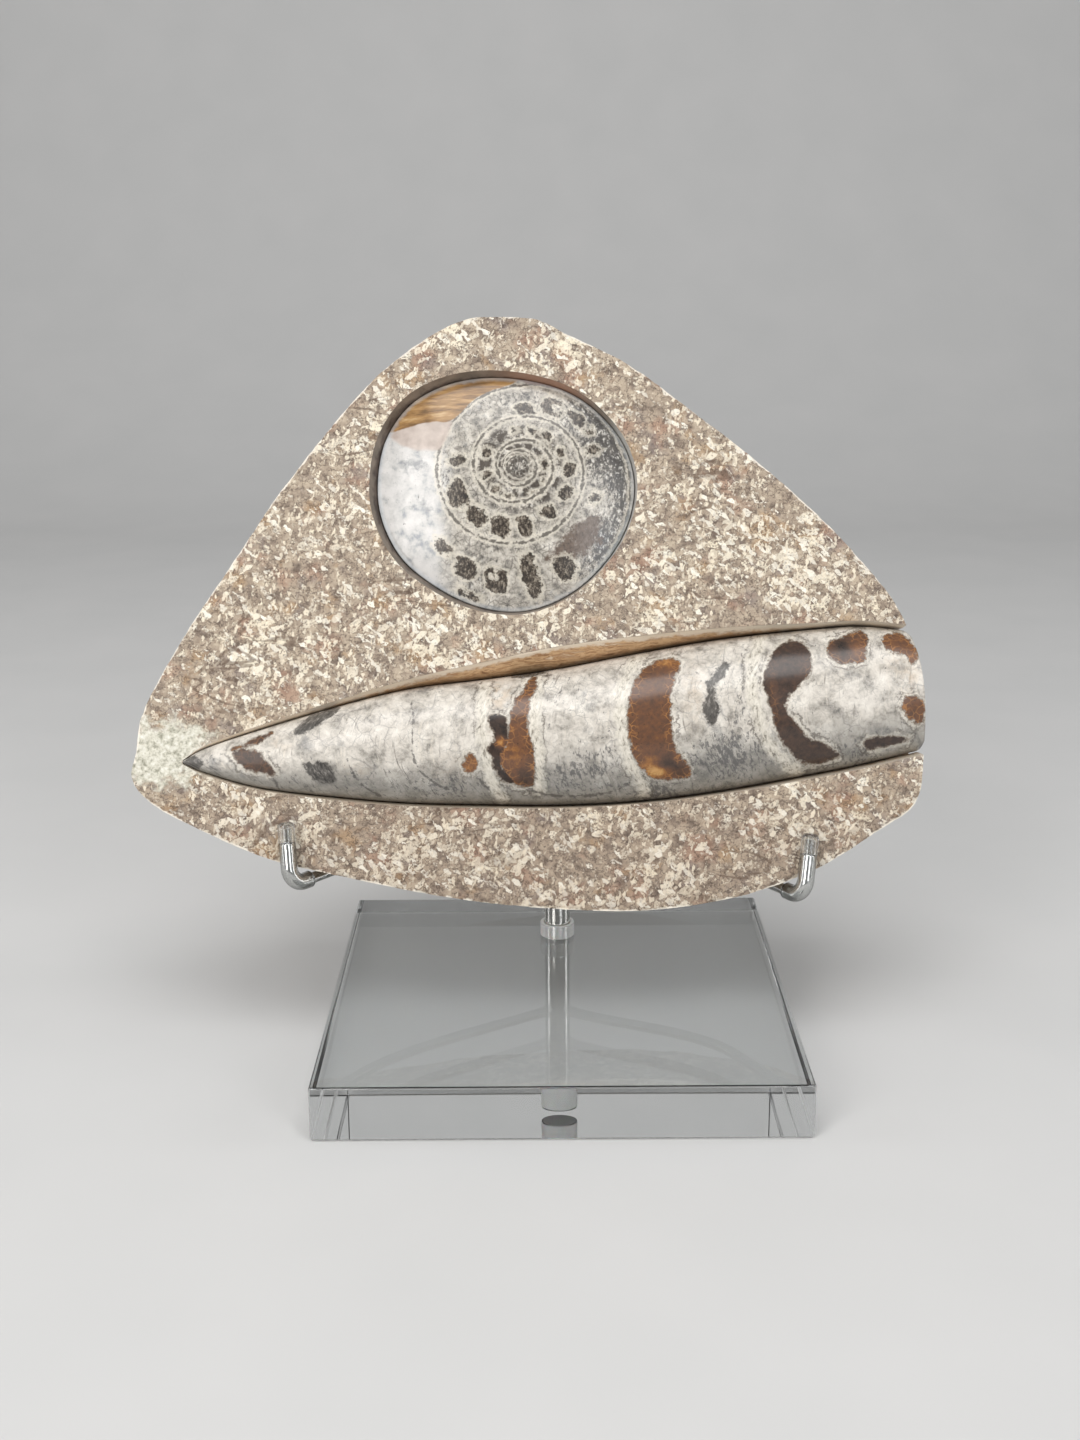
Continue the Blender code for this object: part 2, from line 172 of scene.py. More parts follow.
def outward(loop):
    """The outward unit normal at each point of a loop that runs anticlockwise."""
    along = np.roll(loop, -1, axis=0) - np.roll(loop, 1, axis=0)
    normal = np.stack([along[:, 1], -along[:, 0]], axis=1)
    return normal / np.linalg.norm(normal, axis=1, keepdims=True)


def ease(value, low, high):
    """0 below low, 1 above high and smooth between them."""
    share = np.clip((value - low) / (high - low), 0, 1)
    return share * share * (3 - 2 * share)


def to_world(points):
    """Metres in the object's frame from millimetres in the slab's plane."""
    points = np.asarray(points, float)
    x, y, z = points[..., 0], points[..., 1], points[..., 2]
    sin, cos = math.sin(LEAN), math.cos(LEAN)
    return np.stack([
        x + PLANE_ZERO.x,
        y * sin - z * cos + PLANE_ZERO.y,
        y * cos + z * sin + PLANE_ZERO.z,
    ], axis=-1) * MM


def to_plane(points):
    """Millimetres in the slab's plane from metres in the object's frame."""
    moved = np.asarray(points, float) / MM - np.array(PLANE_ZERO)
    sin, cos = math.sin(LEAN), math.cos(LEAN)
    x, y, z = moved[..., 0], moved[..., 1], moved[..., 2]
    return np.stack([x, y * sin + z * cos, z * sin - y * cos], axis=-1)


def distance_to_line(x, y, line):
    """How far points are from an open line of (x, y) points."""
    best = np.full(x.shape, 1e9)
    for (ax, ay), (bx, by) in zip(line, line[1:]):
        dx, dy = bx - ax, by - ay
        share = np.clip(((x - ax) * dx + (y - ay) * dy) / (dx * dx + dy * dy + 1e-12), 0, 1)
        best = np.minimum(best, np.hypot(x - ax - dx * share, y - ay - dy * share))
    return best


def distance_to_patch(x, y, outline, steps=4):
    """How far points are outside a smooth closed outline, and below zero inside it."""
    loop = smooth_loop(outline, steps)
    closed = np.concatenate([loop, loop[:1]])
    inside = np.zeros(x.shape, bool)
    for (ax, ay), (bx, by) in zip(closed, closed[1:]):
        if ay != by:
            crossing = ((ay > y) != (by > y)) & (x < (bx - ax) * (y - ay) / (by - ay) + ax)
            inside ^= crossing
    distance = distance_to_line(x, y, closed)
    return np.where(inside, -distance, distance)


def blobs(x, y, spots):
    """A soft field from (x, y, half width, half height, amount) spots."""
    total = np.zeros(x.shape)
    for cx, cy, rx, ry, amount in spots:
        total += amount * np.exp(-(((x - cx) / rx) ** 2 + ((y - cy) / ry) ** 2))
    return total


def rumple(points, cell, seed=0.0):
    """Noise from -1 to 1 at points in millimetres, with cells of that size."""
    return np.array([noise.noise(Vector(p) / cell + Vector((seed, seed, seed))) for p in points])


def set_attributes(mesh, **fields):
    """Keeps a number for each point under each name, for the finishes to read."""
    for name, values in fields.items():
        layer = mesh.attributes.new(name, "FLOAT", "POINT")
        layer.data.foreach_set("value", np.asarray(values, np.float32).ravel())


def new_object(name, mesh, made_of=None):
    made = bpy.data.objects.new(name, mesh)
    bpy.context.scene.collection.objects.link(made)
    if made_of:
        mesh.materials.clear()
        mesh.materials.append(made_of)
    return made


def stands_for(piece, node):
    """Puts the piece on the one body in place of a solid, which it hides."""
    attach(piece, "root")
    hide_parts(node)


def rings_mesh(name, rings):
    """A mesh closed at both ends, through rings with the same number of points, in metres."""
    rings = np.asarray(rings, float)
    count, around = rings.shape[:2]
    index = np.arange(count * around).reshape(count, around)
    after = np.roll(index, -1, axis=1)
    faces = np.stack([index[:-1], after[:-1], after[1:], index[1:]], axis=-1).reshape(-1, 4).tolist()
    faces += [index[0][::-1].tolist(), index[-1].tolist()]
    mesh = bpy.data.meshes.new(name)
    mesh.from_pydata(rings.reshape(-1, 3).tolist(), [], faces)
    mesh.shade_smooth()
    return mesh


def rgb(red, green, blue):
    """A linear colour from the 0 to 255 values seen on a screen."""
    seen = np.array((red, green, blue)) / 255
    linear = np.where(seen <= 0.04045, seen / 12.92, ((seen + 0.055) / 1.055) ** 2.4)
    return (*linear.tolist(), 1)


class Field:
    """A node's socket, which makes Math nodes as it is used in a sum."""

    def __init__(self, graph, socket):
        self.graph = graph
        self.socket = socket

    def __add__(self, other):
        return self.graph.maths("ADD", self, other)

    def __sub__(self, other):
        return self.graph.maths("SUBTRACT", self, other)

    def __rsub__(self, other):
        return self.graph.maths("SUBTRACT", other, self)

    def __mul__(self, other):
        return self.graph.maths("MULTIPLY", self, other)

    def __truediv__(self, other):
        return self.graph.maths("DIVIDE", self, other)

    def __rtruediv__(self, other):
        return self.graph.maths("DIVIDE", other, self)

    def __neg__(self):
        return self.graph.maths("MULTIPLY", self, -1)

    __radd__ = __add__
    __rmul__ = __mul__


class Graph:
    """Short names for the nodes that the finishes and the relief are built from."""

    def __init__(self, tree):
        self.tree = tree

    def add(self, kind, given=None, out=0, **settings):
        node = self.tree.nodes.new(kind)
        for name, value in settings.items():
            setattr(node, name, value)
        for socket, value in (given or {}).items():
            self.feed(node.inputs[socket], value)
        return Field(self, node.outputs[out])

    def feed(self, socket, value):
        """Links a Field, or sets a value: a colour socket takes what is seen, from 0 to 255."""
        if isinstance(value, Field):
            self.tree.links.new(value.socket, socket)
        else:
            socket.default_value = rgb(*value) if socket.type == "RGBA" else value

    def maths(self, operation, *values):
        return self.add("ShaderNodeMath", dict(enumerate(values)), operation=operation)

    def vector(self, operation, *values, out=0):
        return self.add("ShaderNodeVectorMath", dict(enumerate(values)), out, operation=operation)

    def step(self, value, low, high):
        """0 where the value is below low, 1 above high: low may also be the larger one."""
        given = {"Value": value, "From Min": low, "From Max": high}
        return self.add("ShaderNodeMapRange", given, interpolation_type="SMOOTHSTEP")

    def noise(self, place, size, detail=3.0, roughness=0.5, out="Fac"):
        """Noise with lumps of about that size."""
        given = {"Vector": place, "Scale": 1 / size, "Detail": detail, "Roughness": roughness}
        return self.add("ShaderNodeTexNoise", given, out)

    def swing(self, reach, *lumps):
        """Noise about zero, over that reach from its lowest to its highest."""
        return (self.noise(*lumps) - 0.5) * reach

    def cells(self, place, size, out="Distance", feature="F1"):
        given = {"Vector": place, "Scale": 1 / size}
        return self.add("ShaderNodeTexVoronoi", given, out, feature=feature)

    def webs(self, place, size):
        """How far places are from the borders between cells of that size."""
        return self.cells(place, size, feature="DISTANCE_TO_EDGE")

    def fraction(self, value):
        return self.maths("WRAP", value, 1.0, 0.0)

    def joined(self, x, y, z):
        return self.add("ShaderNodeCombineXYZ", {0: x, 1: y, 2: z})

    def channel(self, colour, index):
        return self.add("ShaderNodeSeparateColor", {0: colour}, index)

    def axis(self, place, index):
        return self.add("ShaderNodeSeparateXYZ", {0: place}, index)

    def stretched(self, place, x, y, z):
        return self.vector("MULTIPLY", place, (x, y, z))

    def warped(self, place, size, amount):
        """The place pushed about by noise, for ragged forms."""
        push = self.noise(place, size, 2.0, out="Color")
        push = self.vector("SUBTRACT", push, (0.5, 0.5, 0.5))
        push = self.vector("MULTIPLY", push, (2 * amount,) * 3)
        return self.vector("ADD", place, push)

    def blend(self, share, first, second, mode="MIX"):
        given = {"Factor": share, 6: first, 7: second}
        return self.add("ShaderNodeMix", given, 2, data_type="RGBA", blend_type=mode)

    def ramp(self, value, *stops):
        """A colour from (place, red, green, blue) stops."""
        made = self.add("ShaderNodeValToRGB", {0: value})
        band = made.socket.node.color_ramp
        while len(band.elements) < len(stops):
            band.elements.new(1)
        for element, (place, *tint) in zip(band.elements, stops):
            element.position = place
            element.color = rgb(*tint)
        return made

    def attribute(self, name):
        return self.add("ShaderNodeAttribute", out="Fac", attribute_name=name)


class Finish(Graph):
    """A material: colours and bumps worked out by nodes, on one Principled shader."""

    def __init__(self, name, **constants):
        self.material = bpy.data.materials.new(name)
        self.material.use_nodes = True
        super().__init__(self.material.node_tree)
        self.shader = self.tree.nodes["Principled BSDF"]
        self.colour = None
        self.set(**constants)

    def set(self, **values):
        for name, value in values.items():
            title = name.replace("_", " ").title().replace("Ior", "IOR")
            self.feed(self.shader.inputs[title], value)

    def paint(self, share, tint, mode="MIX"):
        """Lays a share of a tint over the colour so far."""
        self.colour = self.blend(share, self.colour, tint, mode)

    def slab_place(self):
        """Millimetres in the slab's plane."""
        given = {
            "Vector": self.add("ShaderNodeTexCoord", out="Object"),
            "Location": PLANE_ZERO * MM,
            "Rotation": (math.pi / 2 - LEAN, 0, 0),
            "Scale": (MM, MM, MM),
        }
        return self.add("ShaderNodeMapping", given, vector_type="TEXTURE")

    def stand_place(self):
        """Millimetres in the stand's frame."""
        return self.stretched(self.add("ShaderNodeTexCoord", out="Object"), 1000, 1000, 1000)

    def bump(self, height, depth, strength=1.0):
        """Dents and lumps: a height from 0 to 1 over a depth in millimetres."""
        given = {"Height": height, "Distance": depth * MM, "Strength": strength}
        self.set(normal=self.add("ShaderNodeBump", given))


# The limestone


def limestone():
    """Tan and brown stone, dense with angular cream grains, pale along its bruised edges."""
    fin = Finish("limestone", specular_ior_level=0.35)
    place = fin.slab_place()
    ragged = fin.warped(place, 1.5, 0.6)
    zones = fin.noise(place, 20, 3.0)
    fin.colour = fin.ramp(
        fin.noise(ragged, 3.6, 6.0, 0.66),
        (0.30, 104, 91, 81), (0.40, 138, 123, 109), (0.50, 170, 154, 136), (0.60, 187, 171, 151),
        (0.74, 208, 193, 170),
    )
    for shift, size, low, tint in (
        (70, 13, 0.53, (170, 130, 108)), (140, 9, 0.55, (128, 117, 115)),
        (210, 11, 0.55, (180, 145, 103)),
    ):
        elsewhere = fin.vector("ADD", ragged, (shift, shift / 2, 0))
        fin.paint(fin.step(fin.noise(elsewhere, size, 4.0, 0.6), low, low + 0.14) * 0.52, tint)
    fine = fin.noise(place, 0.7, 3.0, 0.7)
    seam = fin.maths("ABSOLUTE", fin.noise(ragged, 2.6, 3.0, 0.6) - 0.5)
    fin.paint(fin.step(seam, 0.032, 0.006) * 0.7, (84, 70, 61))
    height = fin.noise(place, 1.8, 5.0, 0.65) * 0.6
    for size, angle, rare, tint in (
        (1.6, 35, 0.86, (244, 234, 214)), (1.2, -42, 0.84, (251, 245, 230)),
        (0.8, 80, 0.81, (240, 228, 206)), (2.4, -10, 0.96, (246, 234, 210)),
    ):
        given = {"Vector": ragged, "Rotation": (0, 0, math.radians(angle)), "Scale": (1.7, 0.9, 1.0)}
        cell = fin.cells(fin.add("ShaderNodeMapping", given, vector_type="TEXTURE"), size, "Color")
        chance = fin.channel(cell, 0) + (fine - 0.5) * 0.5 + (zones - 0.5) * 0.7
        grain = fin.step(chance, rare, rare + 0.10) * (fin.channel(cell, 1) * 0.5 + 0.5)
        fin.paint(grain * 0.95, tint)
        height = height + grain * 0.2
    fin.paint(fin.step(fine, 0.48, 0.28) * 0.6, (158, 146, 138), "MULTIPLY")
    # Painted shade: the stone darkened towards the slab's lower edge.
    painted_lower_edge_shade = fin.step(fin.axis(place, 1) + (zones - 0.5) * 30, 34.0, 10.0)
    fin.paint(painted_lower_edge_shade * 0.3, (176, 160, 152), "MULTIPLY")
    wavy_seams(fin, place)
    tip_bloom(fin, place)
    broken = fin.step(fin.noise(place, 11, 4.0, 0.65), 0.40, 0.58)
    edge = fin.attribute("edge") * (broken * 0.8 + 0.2) + fin.swing(0.7, place, 1.2, 3.0)
    fin.paint(fin.step(edge, 0.35, 0.7) * 0.9, (240, 232, 218))
    dull = 1 - hollow_walls(fin, place)
    fin.set(base_color=fin.colour, roughness=dull * 0.34 + 0.36)
    fin.bump(height * dull, 0.45, 0.9)
    return fin.material


def wavy_seams(fin, place):
    """A few wavy darker seams across the stone."""
    waved = fin.warped(fin.stretched(place, 0.35, 1, 1), 9, 5)
    seam = fin.maths("ABSOLUTE", fin.noise(waved, 16, 2.0) - 0.5)
    there = fin.step(fin.noise(place, 34, 1.0), 0.5, 0.62)
    fin.paint(fin.step(seam, 0.012, 0.004) * there * 0.6, (92, 72, 58))


def tip_bloom(fin, place):
    """The whitish, faintly green stone round the orthoceras's point."""
    away = fin.vector("SUBTRACT", place, (-112, 36, 0))
    away = fin.vector("LENGTH", fin.stretched(away, 0.055, 0.085, 0), out="Value")
    pale = fin.ramp(
        fin.noise(place, 1.6, 4.0, 0.7), (0.35, 150, 148, 132), (0.5, 212, 208, 192), (0.7, 240, 238, 228)
    )
    fin.paint(fin.step(away + fin.swing(1.6, place, 4, 5.0, 0.65), 0.95, 0.55), pale)


def hollow_walls(fin, place):
    """The smooth walls of the groove, banded brown, and of the pocket, with painted shade and light. Gives
    where they are.
    """
    inside = fin.step(fin.attribute("hollow"), 0.05, -0.05)
    in_pocket = fin.attribute("pocket")
    brown = fin.ramp(
        fin.noise(fin.stretched(fin.warped(place, 6, 1.2), 0.07, 0.9, 0.9), 1.4, 6.0, 0.68),
        (0.32, 98, 72, 52), (0.42, 168, 128, 90), (0.50, 210, 176, 136), (0.58, 160, 118, 80),
        (0.68, 222, 202, 174),
    )
    brown = fin.blend(fin.attribute("slate"), brown, (142, 146, 146))
    # Painted shade: the pocket's wall darkened all round, reddish-brown at its top, with painted light on
    # its right side.
    pocket_wall_shade_and_light = fin.ramp(fin.noise(place, 4, 4.0), (0.35, 70, 58, 50), (0.65, 112, 97, 86))
    pocket_wall_shade_and_light = fin.blend(fin.attribute("ruddy"), pocket_wall_shade_and_light, (140, 92, 66))
    pocket_wall_shade_and_light = fin.blend(fin.attribute("bright"), pocket_wall_shade_and_light, (176, 176, 174))
    wall = fin.blend(in_pocket, brown, pocket_wall_shade_and_light)
    lip = fin.step(fin.attribute("hollow") - fin.swing(3.0, place, 3.0, 5.0, 0.7), -1.5, -0.6)
    wall = fin.blend(lip * (0.85 - in_pocket * 0.7), wall, (226, 213, 194))
    # Painted shade deep in the groove and the pocket, where their walls go down beside the fossils.
    wall = fin.blend(fin.step(fin.axis(place, 2), -5.0, -7.5) * 0.6, wall, (62, 50, 42))
    fin.paint(inside, wall)
    return inside


def merged_copy(node, name):
    """A copy of a solid's mesh with its loose triangles joined."""
    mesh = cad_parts[node].data.copy()
    mesh.name = name
    if "custom_normal" in mesh.attributes:
        mesh.attributes.remove(mesh.attributes["custom_normal"])
    shape = bmesh.new()
    shape.from_mesh(mesh)
    bmesh.ops.remove_doubles(shape, verts=shape.verts, dist=0.02 * MM)
    return mesh, shape


def split_long_edges(shape, longest):
    """Halves edges until none is longer than longest(its middle), in millimetres."""
    for _ in range(6):
        edges = [
            edge
            for edge in shape.edges
            if edge.calc_length() > longest((edge.verts[0].co + edge.verts[1].co) / 2) * MM
        ]
        if not edges:
            return
        bmesh.ops.subdivide_edges(shape, edges=edges, cuts=1)
        bmesh.ops.triangulate(shape, faces=[face for face in shape.faces if len(face.verts) > 3])


def node_tree(name, **sizes):
    """A Geometry Nodes tree: its graph, and its inputs for geometry, these sizes and a material."""
    tree = bpy.data.node_groups.new(name, "GeometryNodeTree")
    add_socket = tree.interface.new_socket
    add_socket("Geometry", in_out="INPUT", socket_type="NodeSocketGeometry")
    for title, size in sizes.items():
        kind = "NodeSocketInt" if isinstance(size, int) else "NodeSocketFloat"
        title = title.replace("_", " ").title()
        add_socket(title, in_out="INPUT", socket_type=kind).default_value = size
    add_socket("Material", in_out="INPUT", socket_type="NodeSocketMaterial")
    add_socket("Geometry", in_out="OUTPUT", socket_type="NodeSocketGeometry")
    graph = Graph(tree)
    given = tree.nodes.new("NodeGroupInput").outputs
    return graph, [Field(graph, socket) for socket in given[: len(sizes) + 2]]


def close_tree(graph, geometry, finish):
    whole = graph.add("GeometryNodeRealizeInstances", {"Geometry": geometry})
    dressed = graph.add("GeometryNodeSetMaterial", {"Geometry": whole, "Material": finish})
    graph.feed(graph.tree.nodes.new("NodeGroupOutput").inputs[0], dressed)
    return graph.tree


def stone_relief():
    """A Geometry Nodes tree that roughens a stone along its normals, by its own rough attribute."""
    graph, given = node_tree("stone relief", lump_size=5.5, grain_size=1.7, relief=1.0)
    geometry, lump, grain, relief, finish = given
    place = graph.stretched(graph.add("GeometryNodeInputPosition"), 1000, 1000, 1000)
    rough = graph.add("GeometryNodeInputNamedAttribute", {"Name": "rough"}, data_type="FLOAT")
    lumps = graph.add("ShaderNodeTexNoise", {"Vector": place, "Scale": 1 / lump, "Detail": 3.0})
    grains = graph.add("ShaderNodeTexNoise", {"Vector": place, "Scale": 1 / grain, "Detail": 2.0})
    height = ((lumps - 0.5) * 1.3 + (grains - 0.5) * 0.7) * rough * relief * MM
    offset = graph.vector("SCALE", graph.add("GeometryNodeInputNormal"))
    graph.feed(offset.socket.node.inputs["Scale"], height)
    moved = graph.add("GeometryNodeSetPosition", {"Geometry": geometry, "Offset": offset})
    return close_tree(graph, moved, finish)


def with_nodes(piece, tree, **inputs):
    """The piece's mesh after a Geometry Nodes tree, as a plain mesh on the same object."""
    modifier = piece.modifiers.new(tree.name, "NODES")
    modifier.node_group = tree
    for item in tree.interface.items_tree:
        name = item.name.lower().replace(" ", "_")
        if item.item_type == "SOCKET" and item.in_out == "INPUT" and name in inputs:
            modifier[item.identifier] = inputs[name]
    bpy.context.view_layer.update()
    shown = piece.evaluated_get(bpy.context.evaluated_depsgraph_get())
    mesh = bpy.data.meshes.new_from_object(shown)
    piece.modifiers.remove(modifier)
    if piece.type == "MESH":
        piece.data = mesh
        return piece
    name = piece.name
    bpy.data.objects.remove(piece, do_unlink=True)
    return new_object(name, mesh)


# The slab's mesh: above each depth in its plane, the longest edge that is left whole
SLAB_SPLITS = ((-3, 1.2), (-18.5, 1.9), (-math.inf, 4.5))
FACE_ROUGHNESS = 0.42
EDGE_WEAR = 0.7
STONE_CREASE = math.radians(48)


def stone_slab(finish):
    """The slab from its solid, split finely, with worn edges and a rough broken surface."""
    mesh, shape = merged_copy("slab", "stone_slab")
    out_of_face = Vector((0, -math.cos(LEAN), math.sin(LEAN)))
    face_reach = PLANE_ZERO.dot(out_of_face)

    def longest(middle):
        z = middle.dot(out_of_face) / MM - face_reach
        return next(length for depth, length in SLAB_SPLITS if z > depth)

    split_long_edges(shape, longest)
    shape.to_mesh(mesh)
    shape.free()
    co = np.zeros(len(mesh.vertices) * 3)
    mesh.vertices.foreach_get("co", co)
    place = to_plane(co.reshape(-1, 3))
    x, y, z = place.T
    rim = distance_to_patch(x, y, SLAB_OUTLINE)
    pocket = distance_to_patch(x, y, POCKET_RIM)
    groove = np.maximum(y - across(x, 4), across(x, 1) - y)
    groove = np.where(x < SHELL_STATIONS[0][0], np.hypot(x - SHELL_STATIONS[0][0], y - 33.4), groove)
    hollow = np.minimum(pocket, groove)
    hollow = np.where(z < -SHELL_DEPTH - 0.5, 10, hollow)
    face = (z > -1.2) & (rim < 0.3)
    rim_wear_and_sheen = ease(rim, -1.5, 0) * (z > -1.5)
    chips = 0.5 + rumple(place, 4.0) + 0.5 * rumple(place, 1.7)
    place[:, 2] -= rim_wear_and_sheen**2 * np.clip(chips, 0.15, 1.3) * EDGE_WEAR
    mesh.vertices.foreach_set("co", to_world(place).ravel())
    away = ease(np.abs(hollow), 0.1, 1.6) * (hollow > 0)
    set_attributes(
        mesh,
        edge=np.exp(-np.maximum(-rim, 0) / 0.55) * ease(z, -1.6, -0.4),
        hollow=hollow,
        pocket=pocket < groove,
        slate=ease(x, 38, 62) * ease(z, -3.5, -1.0),
        ruddy=ease(x, -22, -6) * ease(y, 128, 136) * ease(-x, -14, -2),
        # Where the pocket's wall gets painted light, on its right side.
        bright=ease(x, 4, 18) * ease(-y, -134, -126),
        rough=np.where(face, FACE_ROUGHNESS * away, ease(-z, 0.4, 3.0) * (hollow > 0)),
    )
    mesh.shade_smooth()
    mesh.set_sharp_from_angle(angle=STONE_CREASE)
    slab = new_object("stone_slab", mesh, finish)
    slab = with_nodes(slab, stone_relief(), relief=1.0, material=finish)
    stands_for(slab, "slab")


# The orthoceras

SHELL_ROWS = smooth_rows(SHELL_STATIONS, 24)


def across(x, column):
    """A column of the shell's table, read at any x."""
    return np.interp(x, SHELL_ROWS[:, 0], SHELL_ROWS[:, column])


# Brown calcite between the white: its tone from dark 0 to golden 1, and its outline
BROWN_PATCHES = (
    (0.34, ((-92.1, 36.6), (-89, 38.3), (-84.9, 40.3), (-81, 41.7), (-81.9, 40.2), (-85.8, 38.3))),
    (0.26, ((-91.5, 36.3), (-85.1, 36.2), (-82.8, 33.7), (-79.8, 29.8), (-83.5, 30.3), (-88.9, 31.8))),
    (0.10, ((-19.5, 45.2), (-14.8, 45.2), (-14, 41), (-14.6, 37), (-16.5, 34), (-15.5, 30.5),
            (-12, 27.2), (-15, 27), (-17.6, 30.2), (-18.4, 34), (-19.6, 36.7), (-17.6, 39.4))),
    (0.50, ((-13.8, 42), (-12.8, 47.1), (-10.7, 51.5), (-7, 57), (-6.2, 54.6), (-7.9, 50), (-8.7, 41.4),
            (-7.2, 37), (-6.8, 29), (-8, 25.6), (-12.4, 26.8), (-15.8, 31), (-16.4, 34.4), (-14.4, 37.5))),
    (0.50, ((30.2, 61.7), (33.8, 61.6), (34.3, 59.8), (32.6, 55.3), (31.3, 49.5), (31.5, 42.5),
            (32.3, 36.9), (34.6, 33.6), (37.4, 28.7), (30.9, 27.5), (25.8, 28.3), (22.7, 31.2),
            (20.9, 34.2), (19.8, 39.8), (19.6, 45.4), (20.3, 51.1), (22.4, 56.1), (26, 59.9))),
    (0.20, ((67, 67), (70.1, 64.7), (71.5, 60.8), (70.2, 56.1), (66.9, 53), (65.2, 51.4), (63.8, 49),
            (63.9, 46), (66.5, 43.2), (68.9, 39.4), (73, 37.7), (75.4, 36.9), (79.4, 34.2), (75.6, 32.6),
            (72, 31.6), (68.3, 32.6), (65.8, 34.8), (62.8, 37.7), (60.7, 42.7), (59, 48.8), (58, 52.2),
            (57.9, 55.1), (59.3, 59.9), (62.1, 64.2))),
    (0.42, ((78.2, 66.6), (82.1, 68.2), (87, 69.8), (87.8, 66.8), (86.9, 62.2), (85.1, 60.2), (79.4, 59.9),
            (77, 61.4), (76.5, 63.8))),
    (0.55, ((93.2, 68), (97, 69.2), (99.9, 66.8), (101.4, 62.2), (99.8, 59.3), (98.1, 62), (94.8, 63.2),
            (92.5, 65.2))),
    (0.50, ((97.1, 49.5), (100, 50.4), (102.4, 48.7), (102.6, 43.2), (99.6, 43.6), (97, 46.5))),
    (0.62, ((-26, 34), (-24.2, 35), (-22.9, 33.2), (-23.4, 30.4), (-25.2, 29.6), (-26.6, 31.4))),
    (0.15, ((86.4, 37.9), (90.8, 39.2), (97, 39.2), (98.8, 38.1), (94, 37.1), (88.3, 35.9))),
)
# Where that tone changes, and below it soft grey, speckle and warm tint: x, y, half width, half
# height and amount
TONE_SPOTS = (
    (27.5, 29.6, 3.2, 1.5, 0.55), (30.5, 32, 2.0, 1.6, -0.35), (25.2, 32.5, 1.6, 2.0, 0.25),
    (34, 30.5, 1.8, 1.6, -0.25), (31, 60.5, 3.0, 1.2, 0.3), (-16.2, 38, 1.6, 1.5, 0.75),
    (-9, 28, 2.4, 3.0, -0.25), (-12, 34, 2.5, 3.5, 0.15), (80.5, 64.5, 2.5, 3.0, -0.35),
    (84.5, 64, 2.4, 2.6, 0.2), (60.5, 50, 1.4, 7.0, 0.16), (70, 58, 2.0, 3.0, 0.1),
)

# Dark crystalline calcite
DARK_PATCHES = (
    ((-74.6, 41), (-72.2, 44.9), (-68.4, 47.3), (-64.9, 48.6), (-62.1, 48.2), (-66.5, 44.5), (-70.5, 41.6)),
    ((-72, 32.2), (-69.2, 32.6), (-66.3, 32.8), (-64, 31.6), (-62.8, 28), (-65.5, 27.2), (-68.8, 28.2)),
    ((-106.6, 33.4), (-102.6, 35.2), (-100.6, 32.8), (-102.7, 31.2)),
    ((-12.9, 57.4), (-8, 59.4), (-4, 59.6), (-4.6, 58), (-8.5, 56.8)),
    ((46.3, 60), (44.3, 57.3), (41.6, 54.4), (41.5, 51), (40.5, 48), (40.9, 44.8), (43, 42.8), (45.3, 45.6),
     (44.1, 50.1), (44, 53.5), (46.4, 56.4), (49, 60)),
)
# Light septa and thin dark cracks, as lines
SEPTA = (
    ((-20.9, 55.2), (-21.2, 44.3), (-20.6, 37.3), (-19.2, 29), (-16.2, 22.8)),
    ((-5.4, 58), (-6.6, 50), (-7, 42), (-5.9, 34), (-5.6, 25)),
    ((24.4, 65), (20.2, 58), (18.2, 52.6), (17.3, 44), (18.4, 37), (20.6, 31.5), (24.4, 24.5)),
    ((58.6, 69), (55.3, 61), (54.3, 53.6), (55.6, 46), (58.4, 38.3), (62.3, 34), (68.2, 29.6)),
)
CRACKS = (
    ((-59.2, 33.4), (-58, 30.5), (-56.9, 28.4), (-54.3, 25.7), (-50.5, 23.6)),
    ((-40.4, 33), (-38.8, 30.3), (-36.6, 28.3), (-34, 26.4), (-31.4, 25.3)),
    ((87.6, 36.6), (86.7, 34.8), (85.6, 33.4), (84.8, 31.2)),
    ((-81.2, 30), (-79.8, 27.4), (-79.2, 25)),
    ((-41.4, 50), (-40.6, 44), (-41, 38), (-40.4, 33)),
    ((-23, 28.9), (-21.5, 26.8), (-19.8, 25.2)),
    ((20.2, 26.8), (16, 24.6), (8, 23.2), (-2, 23.4), (-8, 24.8)),
    ((-8, 58.6), (-4, 57.4), (-1, 57.8)),
)
GREY_SPOTS = (
    (-71, 38, 2.4, 3.4, 0.8), (-98, 33, 6, 3, 0.7), (-90, 30, 8, 2.4, 0.5), (-49, 49, 5, 2.2, 0.35),
    (-36, 53.5, 6, 2.0, 0.6), (-40, 45, 1.6, 9, 0.3), (8, 46, 3.6, 8, 0.5), (-3, 55, 5, 4, 0.3),
    (-30, 28, 16, 4, 0.4), (45, 44, 4, 9, 0.45), (50, 35, 11, 5, 0.5), (92, 41, 5, 2.0, 0.6),
    (-26, 47, 5, 7, 0.15), (81, 56.8, 6, 1.5, 0.5), (4, 28, 12, 4, 0.35), (-62, 36, 3, 4, 0.2),
)
SPECKLE_SPOTS = (
    (47, 34, 10, 6, 0.9), (50, 46, 4.5, 9, 0.6), (5, 30, 11, 5, 0.75), (1, 52, 7, 7, 0.4),
    (-68, 30, 7, 4, 0.5), (-99, 32, 6, 4, 0.6), (-30, 27, 14, 4, 0.45), (84, 34, 8, 3, 0.5),
    (-38, 53, 8, 3, 0.45), (12, 38, 6, 8, 0.35), (40, 56, 3, 5, 0.3), (28, 24.5, 8, 2.5, 0.8),
    (-24, 50, 4, 6, 0.3), (52, 56, 3, 6, 0.3), (-17, 50, 3, 4, 0.3),
)
